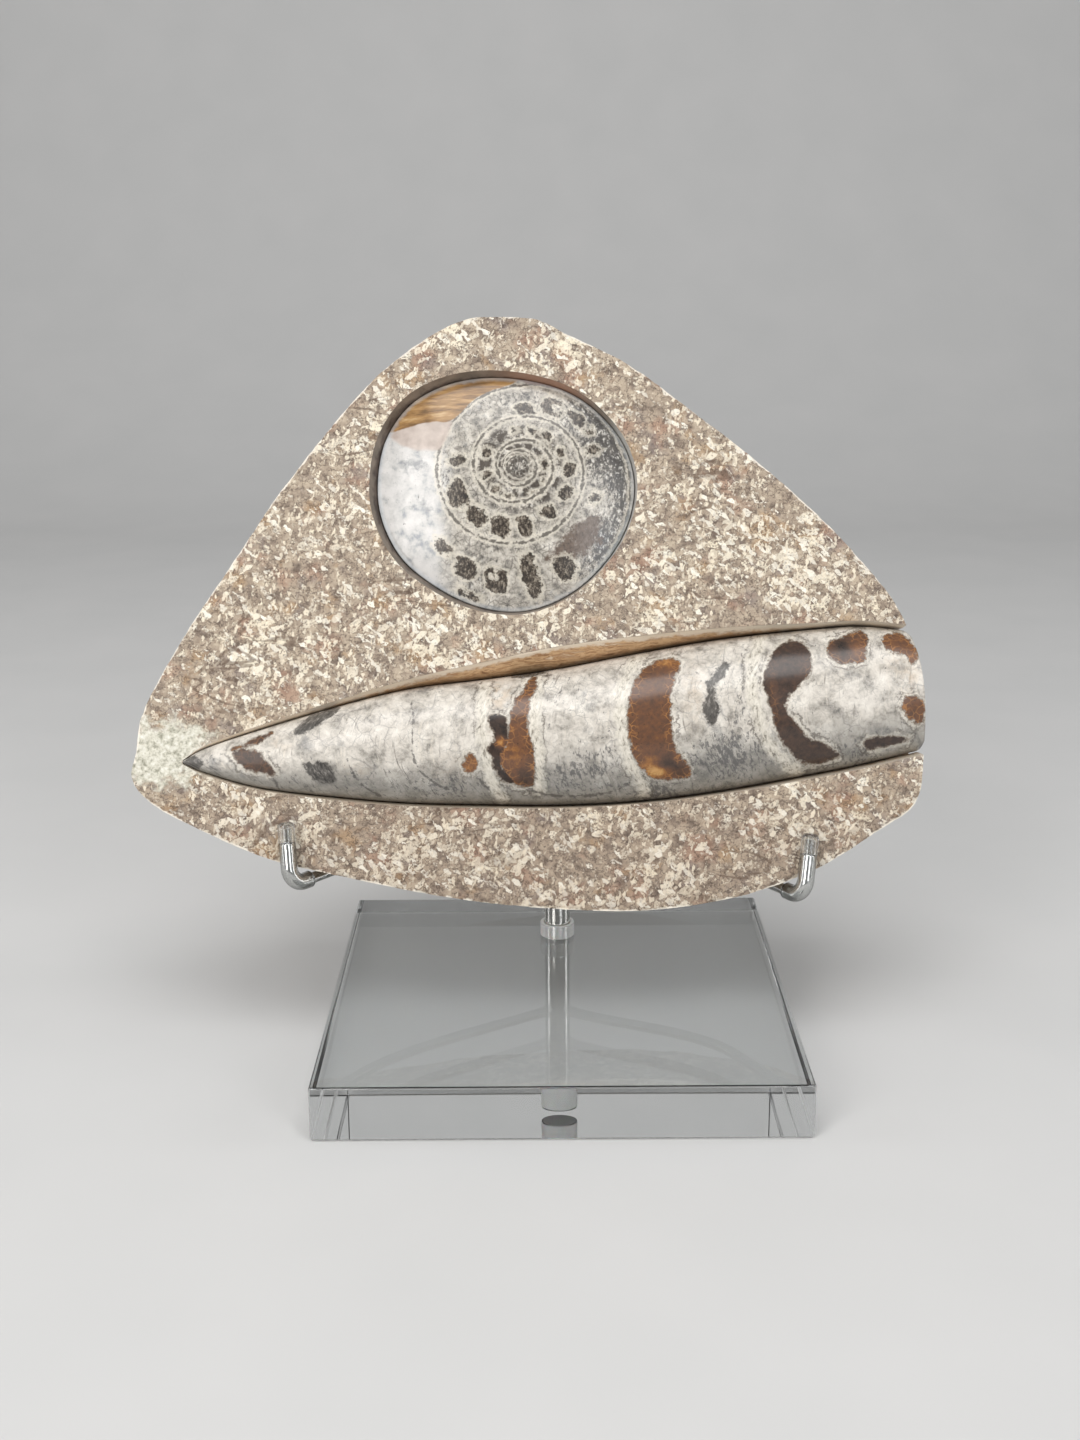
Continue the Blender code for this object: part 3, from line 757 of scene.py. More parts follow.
WARM_SPOTS = (
    (-17, 51, 4.5, 5, 0.7), (-19, 40, 2, 3, 0.4), (38, 52, 3, 9, 0.4), (-57, 30, 4, 2, 0.5),
    (95, 60, 4, 4, 0.3), (-30, 30, 6, 4, 0.25), (-78, 38, 3, 2, 0.35), (99, 55, 2.5, 5, 0.5),
)


# The orthoceras's mesh: its first and last x, the x from which it is drawn out to the slab's edge,
# its rings and the points of a ring above and below where it is widest
SHELL_START, SHELL_END, SHELL_DRAWN_FROM = -106.5, 103.9, 78.0
SHELL_RINGS, SHELL_POINTS_ABOVE, SHELL_POINTS_BELOW = 450, 118, 10
END_CAP_SHARES = (0.86, 0.7, 0.5, 0.3, 0.1)


def shell_points():
    """Rings of the orthoceras's surface in the slab's plane, close together where it shows."""
    above = np.linspace(-22, 202, SHELL_POINTS_ABOVE)
    turns = np.radians(np.concatenate([above, np.linspace(216, 324, SHELL_POINTS_BELOW)]))
    outline = smooth_loop(SLAB_OUTLINE, 8)
    right = outline[(outline[:, 0] > 75) & (outline[:, 1] > 5)]
    right = right[np.argsort(right[:, 1])]
    straight = np.linspace(SHELL_START, SHELL_END, SHELL_RINGS)[:, None]
    drawn_share = (straight - SHELL_DRAWN_FROM) / (SHELL_END - SHELL_DRAWN_FROM)
    x = np.repeat(straight, len(turns), axis=1)
    for _ in range(3):
        low, high, crown, widest = (across(x, column) for column in (2, 3, 5, 6))
        y = (low + high) / 2 + (high - low) / 2 * np.cos(turns)
        z = np.maximum(-widest + (crown + widest) * np.sin(turns), -SHELL_DEPTH)
        end = np.interp(y, right[:, 1], right[:, 0])
        end -= np.where(z > 0, z * 2 / 12, -z * 2.5 / 20)
        reach = SHELL_DRAWN_FROM + drawn_share * (end - SHELL_DRAWN_FROM)
        x = np.where(straight > SHELL_DRAWN_FROM, reach, straight)
    return np.stack([x, y, z], axis=-1)


def orthoceras_shell(finish):
    points = shell_points()
    last = points[-1]
    middle = last.mean(axis=0)
    caps = [middle + (last - middle) * share for share in END_CAP_SHARES]
    points = np.concatenate([points, np.array(caps)])
    flat = points.reshape(-1, 3)
    x, y, z = flat.T
    lift = rumple(flat, 17.0) * 0.16 + rumple(flat, 6.0, 3.0) * 0.05
    body = np.arange(len(flat)) < SHELL_RINGS * len(last)
    moved = flat.copy()
    moved[:, 2] += lift * (z > -4) * body * ease(across(x, 5), 1.0, 4.0)
    mesh = rings_mesh("orthoceras_shell", to_world(moved.reshape(points.shape)))
    tone = np.zeros(x.shape)
    brown = np.full(x.shape, 1e3)
    for value, outline in BROWN_PATCHES:
        distance = distance_to_patch(x, y, outline)
        tone = np.where(distance < brown, value, tone)
        brown = np.minimum(brown, distance)
    side = (y - (across(x, 2) + across(x, 3)) / 2) / (across(x, 3) - across(x, 2)) * 2
    set_attributes(
        mesh,
        brown=brown,
        tone=tone + blobs(x, y, TONE_SPOTS),
        dark=np.min([distance_to_patch(x, y, outline) for outline in DARK_PATCHES], axis=0),
        septum=np.min([distance_to_line(x, y, smooth_rows(line, 4)) for line in SEPTA], axis=0),
        crack=np.min([distance_to_line(x, y, smooth_rows(line, 4)) for line in CRACKS], axis=0),
        bow=x - 6.5 * side**2,
        side=side,
        grey=blobs(x, y, GREY_SPOTS),
        speckle=blobs(x, y, SPECKLE_SPOTS),
        warm=blobs(x, y, WARM_SPOTS),
    )
    stands_for(new_object("orthoceras_shell", mesh, finish), "orthoceras")


def shell_calcite():
    """White and grey calcite with brown, dark and speckled fillings, under a wax polish, and painted shade
    along its lower side.
    """
    fin = Finish("shell calcite", coat_weight=0.15, coat_roughness=0.12)
    place = fin.slab_place()
    x, y, z = (fin.axis(place, index) for index in range(3))
    bow = fin.attribute("bow")
    ragged = fin.warped(place, 2.6, 1.0)
    cloud = fin.noise(place, 9, 5.0, 0.6)
    fin.colour = fin.ramp(
        fin.noise(ragged, 5.5, 8.0, 0.72),
        (0.31, 112, 108, 102), (0.40, 166, 160, 151), (0.50, 204, 197, 187), (0.66, 232, 226, 216),
    )
    growth = fin.noise(fin.warped(fin.joined(bow, y * 0.12, 0.0), 4, 0.7), 1.2, 5.0, 0.65)
    lined = fin.step(cloud, 0.40, 0.60)
    fin.paint(fin.step(growth, 0.44, 0.34) * lined * 0.7, (124, 117, 109))
    fin.paint(fin.step(growth, 0.56, 0.70) * 0.5, (230, 221, 206))
    warm = fin.attribute("warm") * fin.step(fin.noise(ragged, 2.4, 5.0, 0.65), 0.38, 0.62)
    fin.paint(warm * 0.9, (202, 180, 154))
    grey = fin.attribute("grey") + fin.swing(2.4, ragged, 3.0, 6.0, 0.7)
    fin.paint(fin.step(grey, 0.25, 1.0) * 0.8, (120, 119, 118))
    # Painted shade along the shell's lower side, where it curves down away from the light.
    painted_underside_shade = fin.step(fin.attribute("side") + (cloud - 0.5) * 0.9, -0.10, -0.80)
    fin.paint(painted_underside_shade * 0.64, (104, 103, 98))
    for size, width, weight in ((6.0, 0.04, 0.45), (2.4, 0.06, 0.4)):
        webbed = fin.step(fin.noise(place, size * 2.2, 3.0, 0.6), 0.46, 0.62)
        fin.paint(fin.step(fin.webs(ragged, size), width, 0.0) * webbed * weight, (108, 106, 106))
    grit = fin.noise(fin.warped(fin.joined(bow, y * 0.45, z * 0.45), 1.4, 0.6), 1.0, 5.0, 0.78)
    bar = fin.attribute("speckle") * 0.16 + painted_underside_shade * 0.05 + 0.345
    fin.paint(fin.step(grit - bar, 0.03, -0.03) * 0.8, (86, 84, 84))
    nearest = fin.maths("MINIMUM", fin.attribute("brown") + 1.0, fin.attribute("septum"))
    nearest = nearest + fin.swing(7.0, place, 2.6, 6.0, 0.75)
    cream = fin.ramp(grit, (0.37, 128, 120, 108), (0.47, 208, 201, 187), (0.66, 238, 232, 221))
    fin.paint(fin.step(nearest, 2.8, 0.6) * 0.85, cream)
    thread = fin.maths("ABSOLUTE", nearest - 2.5)
    fin.paint(fin.step(thread, 0.45, 0.12) * lined * 0.75, (88, 80, 72))
    crack = fin.attribute("crack") + fin.swing(2.4, place, 2.0, 5.0, 0.75)
    fin.paint(fin.step(crack, 0.42, 0.10) * 0.8, (84, 80, 77))
    dark = fin.attribute("dark") + fin.swing(5, place, 2.2, 6.0, 0.78)
    murk = fin.ramp(grit, (0.38, 30, 28, 26), (0.52, 70, 66, 62), (0.66, 150, 144, 138))
    fin.paint(fin.step(dark, 0.5, -0.3) * 0.9, murk)
    brown_calcite(fin, place)
    dull_tip = fin.step(x, -66.0, -80.0)
    fin.set(base_color=fin.colour, roughness=dull_tip * 0.25 + 0.25)
    fin.bump(fin.noise(place, 4.0, 2.0), 0.06, 0.25)
    return fin.material


def brown_calcite(fin, place):
    """Brown fillings: darker or golden by their tone, with an orange crackle near their rims."""
    edge = fin.attribute("brown") + fin.swing(4.6, place, 2.6, 7.0, 0.78)
    tone = fin.attribute("tone") + fin.swing(0.75, fin.warped(place, 2.0, 0.8), 1.6, 6.0, 0.7)
    brown = fin.ramp(
        tone,
        (0.00, 38, 30, 26), (0.22, 66, 50, 41), (0.42, 90, 64, 49), (0.58, 110, 74, 50),
        (0.75, 148, 100, 54), (0.95, 196, 152, 94),
    )
    crackle = fin.step(fin.webs(fin.warped(place, 1.8, 0.8), 2.2), 0.07, 0.01)
    near_rim = fin.step(edge, -3.2, -0.8) * fin.step(fin.attribute("tone"), 0.15, 0.5)
    brown = fin.blend(crackle * near_rim * 0.7, brown, (170, 118, 68))
    pocks = fin.step(fin.noise(place, 0.9, 3.0, 0.7), 0.36, 0.30)
    brown = fin.blend(pocks * 0.6, brown, (42, 32, 26))
    fin.paint(fin.step(edge, 0.55, 0.25) * 0.7, (96, 78, 62))
    fin.paint(fin.step(edge, 0.14, -0.14), brown)


# The goniatite

# The line between the coils: its heading in degrees, clockwise from the left, and its radius
SUTURE = (
    (-180, 4.8), (-90, 5.6), (0, 6.5), (90, 7.7), (135, 8.9), (180, 9.7), (225, 9.5), (270, 10.1),
    (315, 11.9), (360, 13.1), (405, 14.1), (450, 14.8), (495, 16.9), (540, 18.3), (585, 19.8),
    (630, 22.0), (675, 23.8), (720, 23.6), (765, 23.3), (793, 24.2), (810, 24.8), (824, 26.0),
    (855, 27.6), (900, 31.5), (945, 35.9), (990, 41.7), (1035, 44.0), (1080, 48.0), (1170, 56.0),
    (1260, 64.0),
)
# Dark chambers: heading in degrees anticlockwise from the right, radius, length along the coil,
# height across it and how dark
CHAMBERS = (
    (204.3, 19.3, 7.4, 5.6, 1), (229.4, 18.7, 5.8, 4.6, 1), (252.7, 18.2, 5.2, 5.8, 1),
    (275, 17.1, 4, 5.6, 1), (302.2, 15.5, 3.6, 4.2, 1), (330, 15.4, 4.4, 4, 0.75),
    (356.6, 14.4, 3.8, 3.6, 0.85), (7, 7.6, 3, 2, 0.9), (83.6, 17.2, 5.4, 4.4, 1), (62, 20.6, 6.2, 5.4, 1),
    (41, 22.4, 6.4, 3.2, 0.8), (157, 10.3, 2.2, 2.4, 1), (174, 17.8, 3.2, 4.6, 0.8),
    (225.8, 31.7, 5.2, 3, 1), (241.7, 32.6, 6.6, 5.2, 1), (258, 32.9, 6.6, 6.4, 1),
    (244.4, 39, 2.2, 2.2, 1), (250.2, 39.2, 2.8, 1.8, 1), (275.7, 31.2, 4.6, 11, 1),
    (294.1, 31.3, 5.6, 6.4, 1), (20, 12.7, 2.6, 2.2, 0.7), (48, 12.1, 2.8, 2.2, 0.8),
    (72, 11.4, 2.4, 2, 0.7), (96, 11, 2.2, 1.8, 0.6), (196, 9.8, 2.4, 2.8, 0.7), (224, 9.6, 2.4, 2.4, 0.7),
    (250, 9.4, 2.2, 1.8, 0.6), (300, 8.9, 2.2, 2, 0.6), (330, 8.5, 2, 2, 0.7), (338, 23.4, 3.5, 2.6, 0.7),
    (14, 21.6, 2.6, 3.8, 0.8), (28, 22.9, 2.6, 3, 0.5),
)
INNER_CHAMBERS = 13
GOLD_PATCH = (
    (-48.5, 129), (-45.5, 134.5), (-40, 139.8), (-31.9, 144.2), (-24.6, 146.2), (-16.8, 146.5),
    (-9.5, 145.5), (-13, 142.6), (-18.5, 140.6), (-23, 138), (-26.7, 134.5), (-30.4, 131.2), (-35.7, 131.2),
    (-41.5, 130.2),
)
PINK_PATCH = (
    (-48, 128.6), (-41.5, 130.6), (-35.7, 131.6), (-30.2, 131.4), (-31.3, 126.7), (-33.3, 123.2),
    (-36.2, 122.5), (-42, 123.4), (-46.2, 125.8),
)
RUDDY_SLIVER = (
    (-15, 146.5), (-9, 146.2), (-2, 145.6), (4, 143.6), (9, 140.6), (7.5, 138.4), (2.5, 140.6),
    (-3, 142.3), (-9, 143.3),
)
BROWN_SMEAR = ((-2, 92), (4, 98.5), (11, 103.5), (12.5, 99), (9, 94), (4.5, 90.5), (0, 89.5))
# Soft grey and speckle: x, y, half width, half height and amount
COIL_GREY_SPOTS = (
    (-41, 118.5, 4.5, 3.2, 0.75), (-38, 106.5, 4, 3, 0.6), (-37, 95.5, 2.5, 2, 0.45),
    (16, 122, 6, 12, 0.4), (20, 108, 3, 8, 0.3), (8, 132, 7, 5, 0.4), (12, 88, 8, 7, 0.4),
    (-22, 136, 6, 5, 0.35), (-27, 126, 4, 7, 0.3), (-31, 113, 2, 6, 0.4), (-25, 97, 4, 4, 0.3),
    (13, 97, 5, 6, 0.7), (-2, 80, 8, 3, 0.4),
)
COIL_SPECK_SPOTS = (
    (14, 124, 7, 12, 1.1), (19, 112, 3.5, 14, 1.0), (6, 134, 9, 5, 0.9), (12, 90, 9, 8, 0.9),
    (-10.6, 117.3, 12, 12, 0.55), (-22, 90, 9, 6, 0.5), (14, 100, 5, 7, 0.8), (-12, 138, 10, 4, 0.4),
    (-22, 82, 8, 4, 0.5), (-32, 112, 2, 6, 0.6),
)
# Pale bubbles in the dark chambers: x, y and radius
BUBBLES = (
    (-15.6, 89.6, 0.9), (-17.2, 88.2, 1.0), (-14.4, 87.6, 0.8), (-19, 86.2, 0.8), (-17, 85.6, 0.7),
    (0.1, 135.1, 1.3), (-12.9, 85.2, 0.6),
)


def coil_edge():
    """The coiled shell's outline: the pocket's rim, drawn in by the width of the pocket's wall."""
    rim = smooth_loop(POCKET_RIM, 16)
    heading = np.arctan2(*(rim - rim.mean(axis=0)).T[::-1])
    wide = 0.5 + 0.5 * np.cos(heading - RIM_WIDE_HEADING)
    return rim - outward(rim) * (RIM_WALL + RIM_WALL_WIDER * wide)[:, None]


def coil_turns(x, y):
    """How many turns out a point lies, counted so that whole numbers are on the suture.

    The heading's share of a turn is added here and taken off again by the finish, so that what
    is kept has no jump anywhere.
    """
    heading, radius = np.array(SUTURE, float).T
    dx, dy = x - COIL_CENTRE[0], y - COIL_CENTRE[1]
    own = np.degrees(np.arctan2(dy, -dx)) % 360
    reach = np.hypot(dx, dy)
    turns = np.full(x.shape, np.nan)
    log_reach = np.log(np.maximum(reach, 0.3))
    earlier = None
    for turn in range(-1, 4):
        line = np.log(np.interp(own + 360 * turn, heading, radius))
        if earlier is not None:
            share = (log_reach - earlier) / (line - earlier)
            here = (share >= 0) & (share <= 1)
            turns = np.where(here, turn - 1 + share, turns)
            if turn == 0:
                turns = np.where(share < 0, turn - 1 + share, turns)
            turns = np.where((share > 1) & (turn == 3), turn - 1 + share, turns)
        earlier = line
    return turns + own / 360


def goniatite_disc(finish):
    """The coiled shell: a low dome polished across its coils."""
    edge = coil_edge()
    middle = edge.mean(axis=0)
    rings = [np.column_stack([edge, np.full(len(edge), -float(COIL_DEPTH))])]
    for reach in [*np.linspace(1, 0.02, COIL_RINGS), 0.002]:
        rise = (COIL_CROWN + COIL_EDGE_DEPTH) * (1 - reach**COIL_FLATNESS)
        flat = middle + (edge - middle) * reach
        rings.append(np.column_stack([flat, np.full(len(edge), rise - COIL_EDGE_DEPTH)]))
    points = np.array(rings)
    flat = points.reshape(-1, 3)
    x, y, z = flat.T
    moved = flat.copy()
    moved[:, 2] += (rumple(flat, 14.0) * 0.10 + rumple(flat, 5.0, 2.0) * 0.03) * (z > -3)
    mesh = rings_mesh("goniatite_disc", to_world(moved.reshape(points.shape)))
    dx, dy = x - COIL_CENTRE[0], y - COIL_CENTRE[1]
    chamber = np.full(x.shape, 1e3)
    for heading, radius, length, height, depth in CHAMBERS:
        turn = math.radians(heading)
        out = dx * math.cos(turn) + dy * math.sin(turn) - radius
        along = dy * math.cos(turn) - dx * math.sin(turn)
        along = along - 0.12 * out
        out = out + along**2 / (2 * radius)
        shape = (np.abs(2 * along / length) ** 2.6 + np.abs(2 * out / height) ** 2.6) ** (1 / 2.6)
        distance = (shape - 1) * min(length, height) / 2 + (1 - depth) * 0.8
        chamber = np.minimum(chamber, distance)
    for cx, cy, radius in BUBBLES:
        chamber = np.maximum(chamber, radius - np.hypot(x - cx, y - cy))
    set_attributes(
        mesh,
        chamber=chamber,
        turns=coil_turns(x, y),
        gold=distance_to_patch(x, y, GOLD_PATCH),
        sliver=distance_to_patch(x, y, RUDDY_SLIVER),
        pink=distance_to_patch(x, y, PINK_PATCH),
        smear=distance_to_patch(x, y, BROWN_SMEAR),
        grey=blobs(x, y, COIL_GREY_SPOTS),
        speckle=blobs(x, y, COIL_SPECK_SPOTS),
        rim=distance_to_patch(x, y, edge[::4]),
    )
    stands_for(new_object("goniatite_disc", mesh, finish), "goniatite")


def coil_calcite():
    """Pale calcite with a spiral suture, dark chambers, a golden band at the shell's mouth and a painted
    highlight round its rim.
    """
    fin = Finish("coil calcite", roughness=0.25, coat_weight=0.2, coat_roughness=0.12)
    place = fin.slab_place()
    from_centre = fin.vector("SUBTRACT", place, (*COIL_CENTRE, 0))
    dx, dy = fin.axis(from_centre, 0), fin.axis(from_centre, 1)
    radius = fin.vector("LENGTH", fin.stretched(from_centre, 1, 1, 0), out="Value")
    heading = fin.fraction(fin.maths("ARCTAN2", dy, -dx) / (2 * math.pi))
    turns = fin.attribute("turns") - heading
    from_suture = fin.maths("PINGPONG", turns, 0.5) * radius * 0.55
    from_suture = from_suture + fin.swing(2.6, place, 1.8, 6.0, 0.76)
    body = fin.step(dx + fin.swing(8, place, 6, 3.0), -18.0, -25.0)
    ragged = fin.warped(place, 1.8, 0.7)
    fin.colour = fin.ramp(
        fin.noise(ragged, 3.0, 8.0, 0.74),
        (0.32, 80, 76, 72), (0.42, 138, 133, 125), (0.52, 184, 177, 166), (0.66, 218, 212, 202),
    )
    smooth = fin.ramp(
        fin.noise(place, 4.0, 5.0, 0.6), (0.34, 140, 144, 150), (0.46, 196, 194, 191), (0.6, 214, 211, 208)
    )
    fin.paint(body * 0.9, smooth)
    lined = (1 - body) * fin.step(fin.noise(place, 5, 3.0, 0.6), 0.40, 0.55)
    fin.paint(fin.step(fin.webs(ragged, 2.1), 0.09, 0.01) * lined * 0.65, (88, 82, 76))
    grey = fin.attribute("grey") + fin.swing(2.6, ragged, 2.4, 6.0, 0.7)
    fin.paint(fin.step(grey, 0.25, 1.0) * 0.75, (112, 115, 119))
    speckle = fin.attribute("speckle")
    grit = fin.noise(fin.warped(fin.stretched(place, 1.2, 0.7, 1), 1.0, 0.5), 1.0, 5.0, 0.78)
    bar = speckle * 0.16 + fin.step(radius, 27.0, 22.0) * 0.05 + 0.35
    fin.paint(fin.step(grit - bar, 0.03, -0.03) * 0.85, (62, 59, 58))
    fin.paint(fin.step(grit, 0.56, 0.61) * fin.step(speckle, 0.2, 0.8) * 0.75, (232, 229, 223))
    fin.paint(inner_chambers(fin, place, heading, fin.fraction(turns), radius) * 0.9, (70, 62, 55))
    smear = fin.attribute("smear") + fin.swing(16, place, 3.4, 6.0, 0.72)
    fin.paint(fin.step(smear, 1.6, -1.2) * 0.9, fin.ramp(grit, (0.35, 70, 56, 48), (0.6, 104, 86, 73)))
    chamber = fin.attribute("chamber") + fin.swing(5.5, place, 2.4, 6.0, 0.78)
    pit = fin.ramp(grit, (0.38, 30, 26, 23), (0.52, 78, 69, 60), (0.60, 150, 140, 126))
    fin.paint(fin.step(chamber, 1.3, 0.5) * 0.6, (216, 208, 192))
    fin.paint(fin.step(chamber, 0.3, -0.1), pit)
    cream = fin.step(from_suture, 1.3, 0.6) * fin.step(radius, 2.0, 4.0)
    fin.paint(cream * 0.55, (222, 214, 199))
    line = fin.step(from_suture, 0.45, 0.18) * fin.step(radius, 0.8, 2.0)
    kept = fin.step(fin.noise(place, 2.2, 3.0, 0.7), 0.34, 0.48)
    fin.paint(line * kept * 0.85, (74, 68, 62))
    mouth_bands(fin, place)
    # A painted bluish highlight round the coil's rim.
    rim_wear_and_sheen = fin.step(fin.attribute("rim") + fin.swing(1.6, place, 2, 4.0, 0.7), -1.6, -0.4)
    fin.paint(rim_wear_and_sheen * 0.4, (196, 204, 210))
    fin.set(base_color=fin.colour)
    fin.bump(fin.noise(place, 3.5, 2.0), 0.05, 0.25)
    return fin.material


def inner_chambers(fin, place, heading, whorl, radius):
    """Where the inner coils have their small dark chambers, ragged and here and there missing."""
    cell = fin.fraction(heading * INNER_CHAMBERS + whorl * 0.6)
    across_cell = fin.maths("ABSOLUTE", cell - 0.5) * 2
    across_whorl = fin.maths("ABSOLUTE", whorl - 0.5) * 2
    shape = fin.maths("MAXIMUM", across_cell, across_whorl) + fin.swing(3.0, place, 1.5, 5.0, 0.75)
    there = fin.step(radius, 13.5, 11.5) * fin.step(radius, 0.8, 1.6)
    return fin.step(shape, 0.66, 0.50) * there


def mouth_bands(fin, place):
    """The golden and pinkish bands at the shell's mouth, streaked along them."""
    given = {"Vector": place, "Rotation": (0, 0, math.radians(-28)), "Scale": (0.12, 1.0, 1.0)}
    turned = fin.add("ShaderNodeMapping", given)
    gold = fin.ramp(
        fin.noise(fin.warped(turned, 3, 0.5), 1.6, 4.0, 0.6),
        (0.30, 84, 62, 40), (0.45, 136, 102, 62), (0.58, 168, 130, 82), (0.72, 200, 170, 126),
    )
    pink = fin.ramp(fin.noise(place, 3, 3.0), (0.3, 176, 160, 150), (0.7, 204, 190, 180))
    soft = fin.attribute("pink") + fin.swing(1.6, place, 4, 3.0)
    fin.paint(fin.step(soft, 0.6, -0.6) * 0.9, pink)
    ragged = fin.swing(0.8, place, 3, 3.0)
    fin.paint(fin.step(fin.attribute("sliver") + ragged, 0.3, -0.3) * 0.9, (126, 84, 60))
    fin.paint(fin.step(fin.attribute("gold") + ragged, 0.25, -0.25), gold)


# The stand


def route_frames(points):
    """Two unit vectors across a route at each of its points, without twist."""
    ahead = np.gradient(points, axis=0)
    ahead /= np.linalg.norm(ahead, axis=1, keepdims=True)
    side = np.cross(ahead[0], (0.3, 0.1, 1.0))
    sides = []
    for direction in ahead:
        side = side - direction * (side @ direction)
        side = side / np.linalg.norm(side)
        sides.append(side)
    sides = np.array(sides)
    return sides, np.cross(ahead, sides)


def bend(corner, to_start, to_end, radius, steps=16):
    """Points of the arc that rounds a corner between two directions that leave it."""
    half = to_start.angle(to_end) / 2
    centre = corner + (to_start + to_end).normalized() * (radius / math.sin(half))
    first = corner + to_start * (radius / math.tan(half)) - centre
    last = corner + to_end * (radius / math.tan(half)) - centre
    turns = (first.normalized().slerp(last.normalized(), step / steps) for step in range(steps + 1))
    return [centre + turn * first.length for turn in turns]


def bezier(a, b, c, d, steps):
    return [
        a * (1 - t) ** 3 + b * 3 * t * (1 - t) ** 2 + c * 3 * t**2 * (1 - t) + d * t**3
        for t in (step / steps for step in range(1, steps + 1))
    ]


def hook_route(hook):
    """The sleeve's tip, the wire's bend and its way back to the post, in millimetres."""
    tip, corner = (
        Vector(to_world((*hook[name], WIRE_PROUD)).tolist()) / MM for name in ("tip", "corner")
    )
    heading = Vector(hook["heading"]).normalized()
    arc = bend(corner, (tip - corner).normalized(), heading, WIRE_BEND)
    run_end = arc[-1] + heading * WIRE_RUN
    side = math.copysign(1, tip.x)
    away = Vector((side * math.cos(WIRE_POST_HEADING), -math.sin(WIRE_POST_HEADING), 0))
    end = Vector((0, POST_Y, WIRE_POST_HEIGHT)) + away * (POST_RADIUS - 0.6)
    reach = (end - run_end).length
    back = bezier(run_end, run_end + heading * reach / 3, end + away * reach / 3, end, 40)
    return tip, arc, [run_end, *back]


def spaced(points, step):
    """The same route with points that far apart, in millimetres."""
    points = np.array([tuple(point) for point in points])
    lengths = np.concatenate([[0], np.cumsum(np.linalg.norm(np.diff(points, axis=0), axis=1))])
    count = max(2, int(lengths[-1] / step) + 1)
    wanted = np.linspace(0, lengths[-1], count)
    return np.column_stack([np.interp(wanted, lengths, points[:, i]) for i in range(3)]), wanted


def swept_wire():
    """A Geometry Nodes tree that sweeps a round section along a curve, by the curve's radius."""
    graph, (geometry, sides, finish) = node_tree("swept wire", sides=WIRE_SIDES)
    section = graph.add("GeometryNodeCurvePrimitiveCircle", {"Resolution": sides, "Radius": 1.0})
    given = {"Curve": geometry, "Profile Curve": section, "Fill Caps": True}
    given["Scale"] = graph.add("GeometryNodeInputRadius")
    swept = graph.add("GeometryNodeCurveToMesh", given)
    smooth = graph.add("GeometryNodeSetShadeSmooth", {"Geometry": swept})
    return close_tree(graph, smooth, finish)


def steel_arm(side, hook, tree, finish):
    """A bent steel wire with a rounded end, thickened by braze where it meets the post."""
    tip, arc, back = hook_route(hook)
    start = tip + (arc[0] - tip).normalized() * SLEEVE_HOLLOW
    points, along = spaced([start, *arc, *back], 0.7)
    left = along[-1] - along
    radii = WIRE_RADIUS + BRAZE * np.exp(-left / BRAZE_REACH)
    end = np.clip(along / 0.7, 0, 1)
    radii *= np.sqrt(np.clip(1 - (1 - end) ** 2, 0.04, 1))
    curve = bpy.data.curves.new(f"{side}_wire", "CURVE")
    curve.dimensions = "3D"
    line = curve.splines.new("POLY")
    line.points.add(len(points) - 1)
    for place, point, radius in zip(line.points, points * MM, radii * MM):
        place.co = (*point, 1)
        place.radius = radius
    arm = with_nodes(new_object(f"{side}_wire", curve), tree, sides=WIRE_SIDES, material=finish)
    stands_for(arm, f"{side}_arm")


def clear_sleeve(side, hook, finish):
    """A vinyl sleeve with a closed round end, which grips the wire."""
    tip, arc, back = hook_route(hook)
    onward = (back[0] - arc[-1]).normalized()
    route, along = spaced([tip, *arc, arc[-1] + onward * SLEEVE_PAST_BEND], 0.5)
    length = along[-1]
    rounding, wall = 1.3, SLEEVE_RADIUS - SLEEVE_GRIP
    outside = [
        (rounding * (1 - math.cos(turn)), SLEEVE_RADIUS - rounding * (1 - math.sin(turn)))
        for turn in np.linspace(0, math.pi / 2, 7)
    ]
    outside = [(0, 0.05), *outside]
    outside += [(s, SLEEVE_RADIUS) for s in np.linspace(rounding + 0.5, length - 0.3, 44)]
    mouth = [(length, SLEEVE_RADIUS - 0.3), (length, SLEEVE_GRIP + 0.15)]
    inside = [(s, SLEEVE_GRIP) for s in np.linspace(length - 0.2, wall + 1.0, 44)]
    inside += [(wall + 0.5, SLEEVE_GRIP - 0.25), (wall + 0.3, SLEEVE_GRIP - 0.8), (wall + 0.25, 0.05)]
    stations = np.array(outside + mouth + inside)
    sides, ups = route_frames(route)
    turns = np.linspace(0, 2 * math.pi, 36, endpoint=False)
    at, out_a, out_b = (
        np.column_stack([np.interp(stations[:, 0], along, values[:, i]) for i in range(3)])[:, None]
        for values in (route, sides, ups)
    )
    ring = out_a * np.cos(turns)[None, :, None] + out_b * np.sin(turns)[None, :, None]
    rings = at + ring * stations[:, 1][:, None, None]
    mesh = facing_out(rings_mesh(f"{side}_clear_sleeve", rings * MM))
    stands_for(new_object(f"{side}_clear_sleeve", mesh, finish), f"{side}_sleeve")


def facing_out(mesh):
    shape = bmesh.new()
    shape.from_mesh(mesh)
    bmesh.ops.recalc_face_normals(shape, faces=shape.faces)
    shape.to_mesh(mesh)
    shape.free()
    return mesh


def turned(name, profile, node, slot, finish):
    """A solid turned about the post's axis from (radius, height) pairs, standing for a node."""
    turns = np.linspace(0, 2 * math.pi, TURNED_SIDES, endpoint=False)
    rings = [
        np.column_stack([r * np.cos(turns), POST_Y + r * np.sin(turns), np.full(TURNED_SIDES, z)])
        for r, z in profile
    ]
    mesh = facing_out(rings_mesh(name, np.array(rings) * MM))
    mesh.set_sharp_from_angle(angle=TURNED_CREASE)
    stands_for(new_object(name, mesh, finish), node)


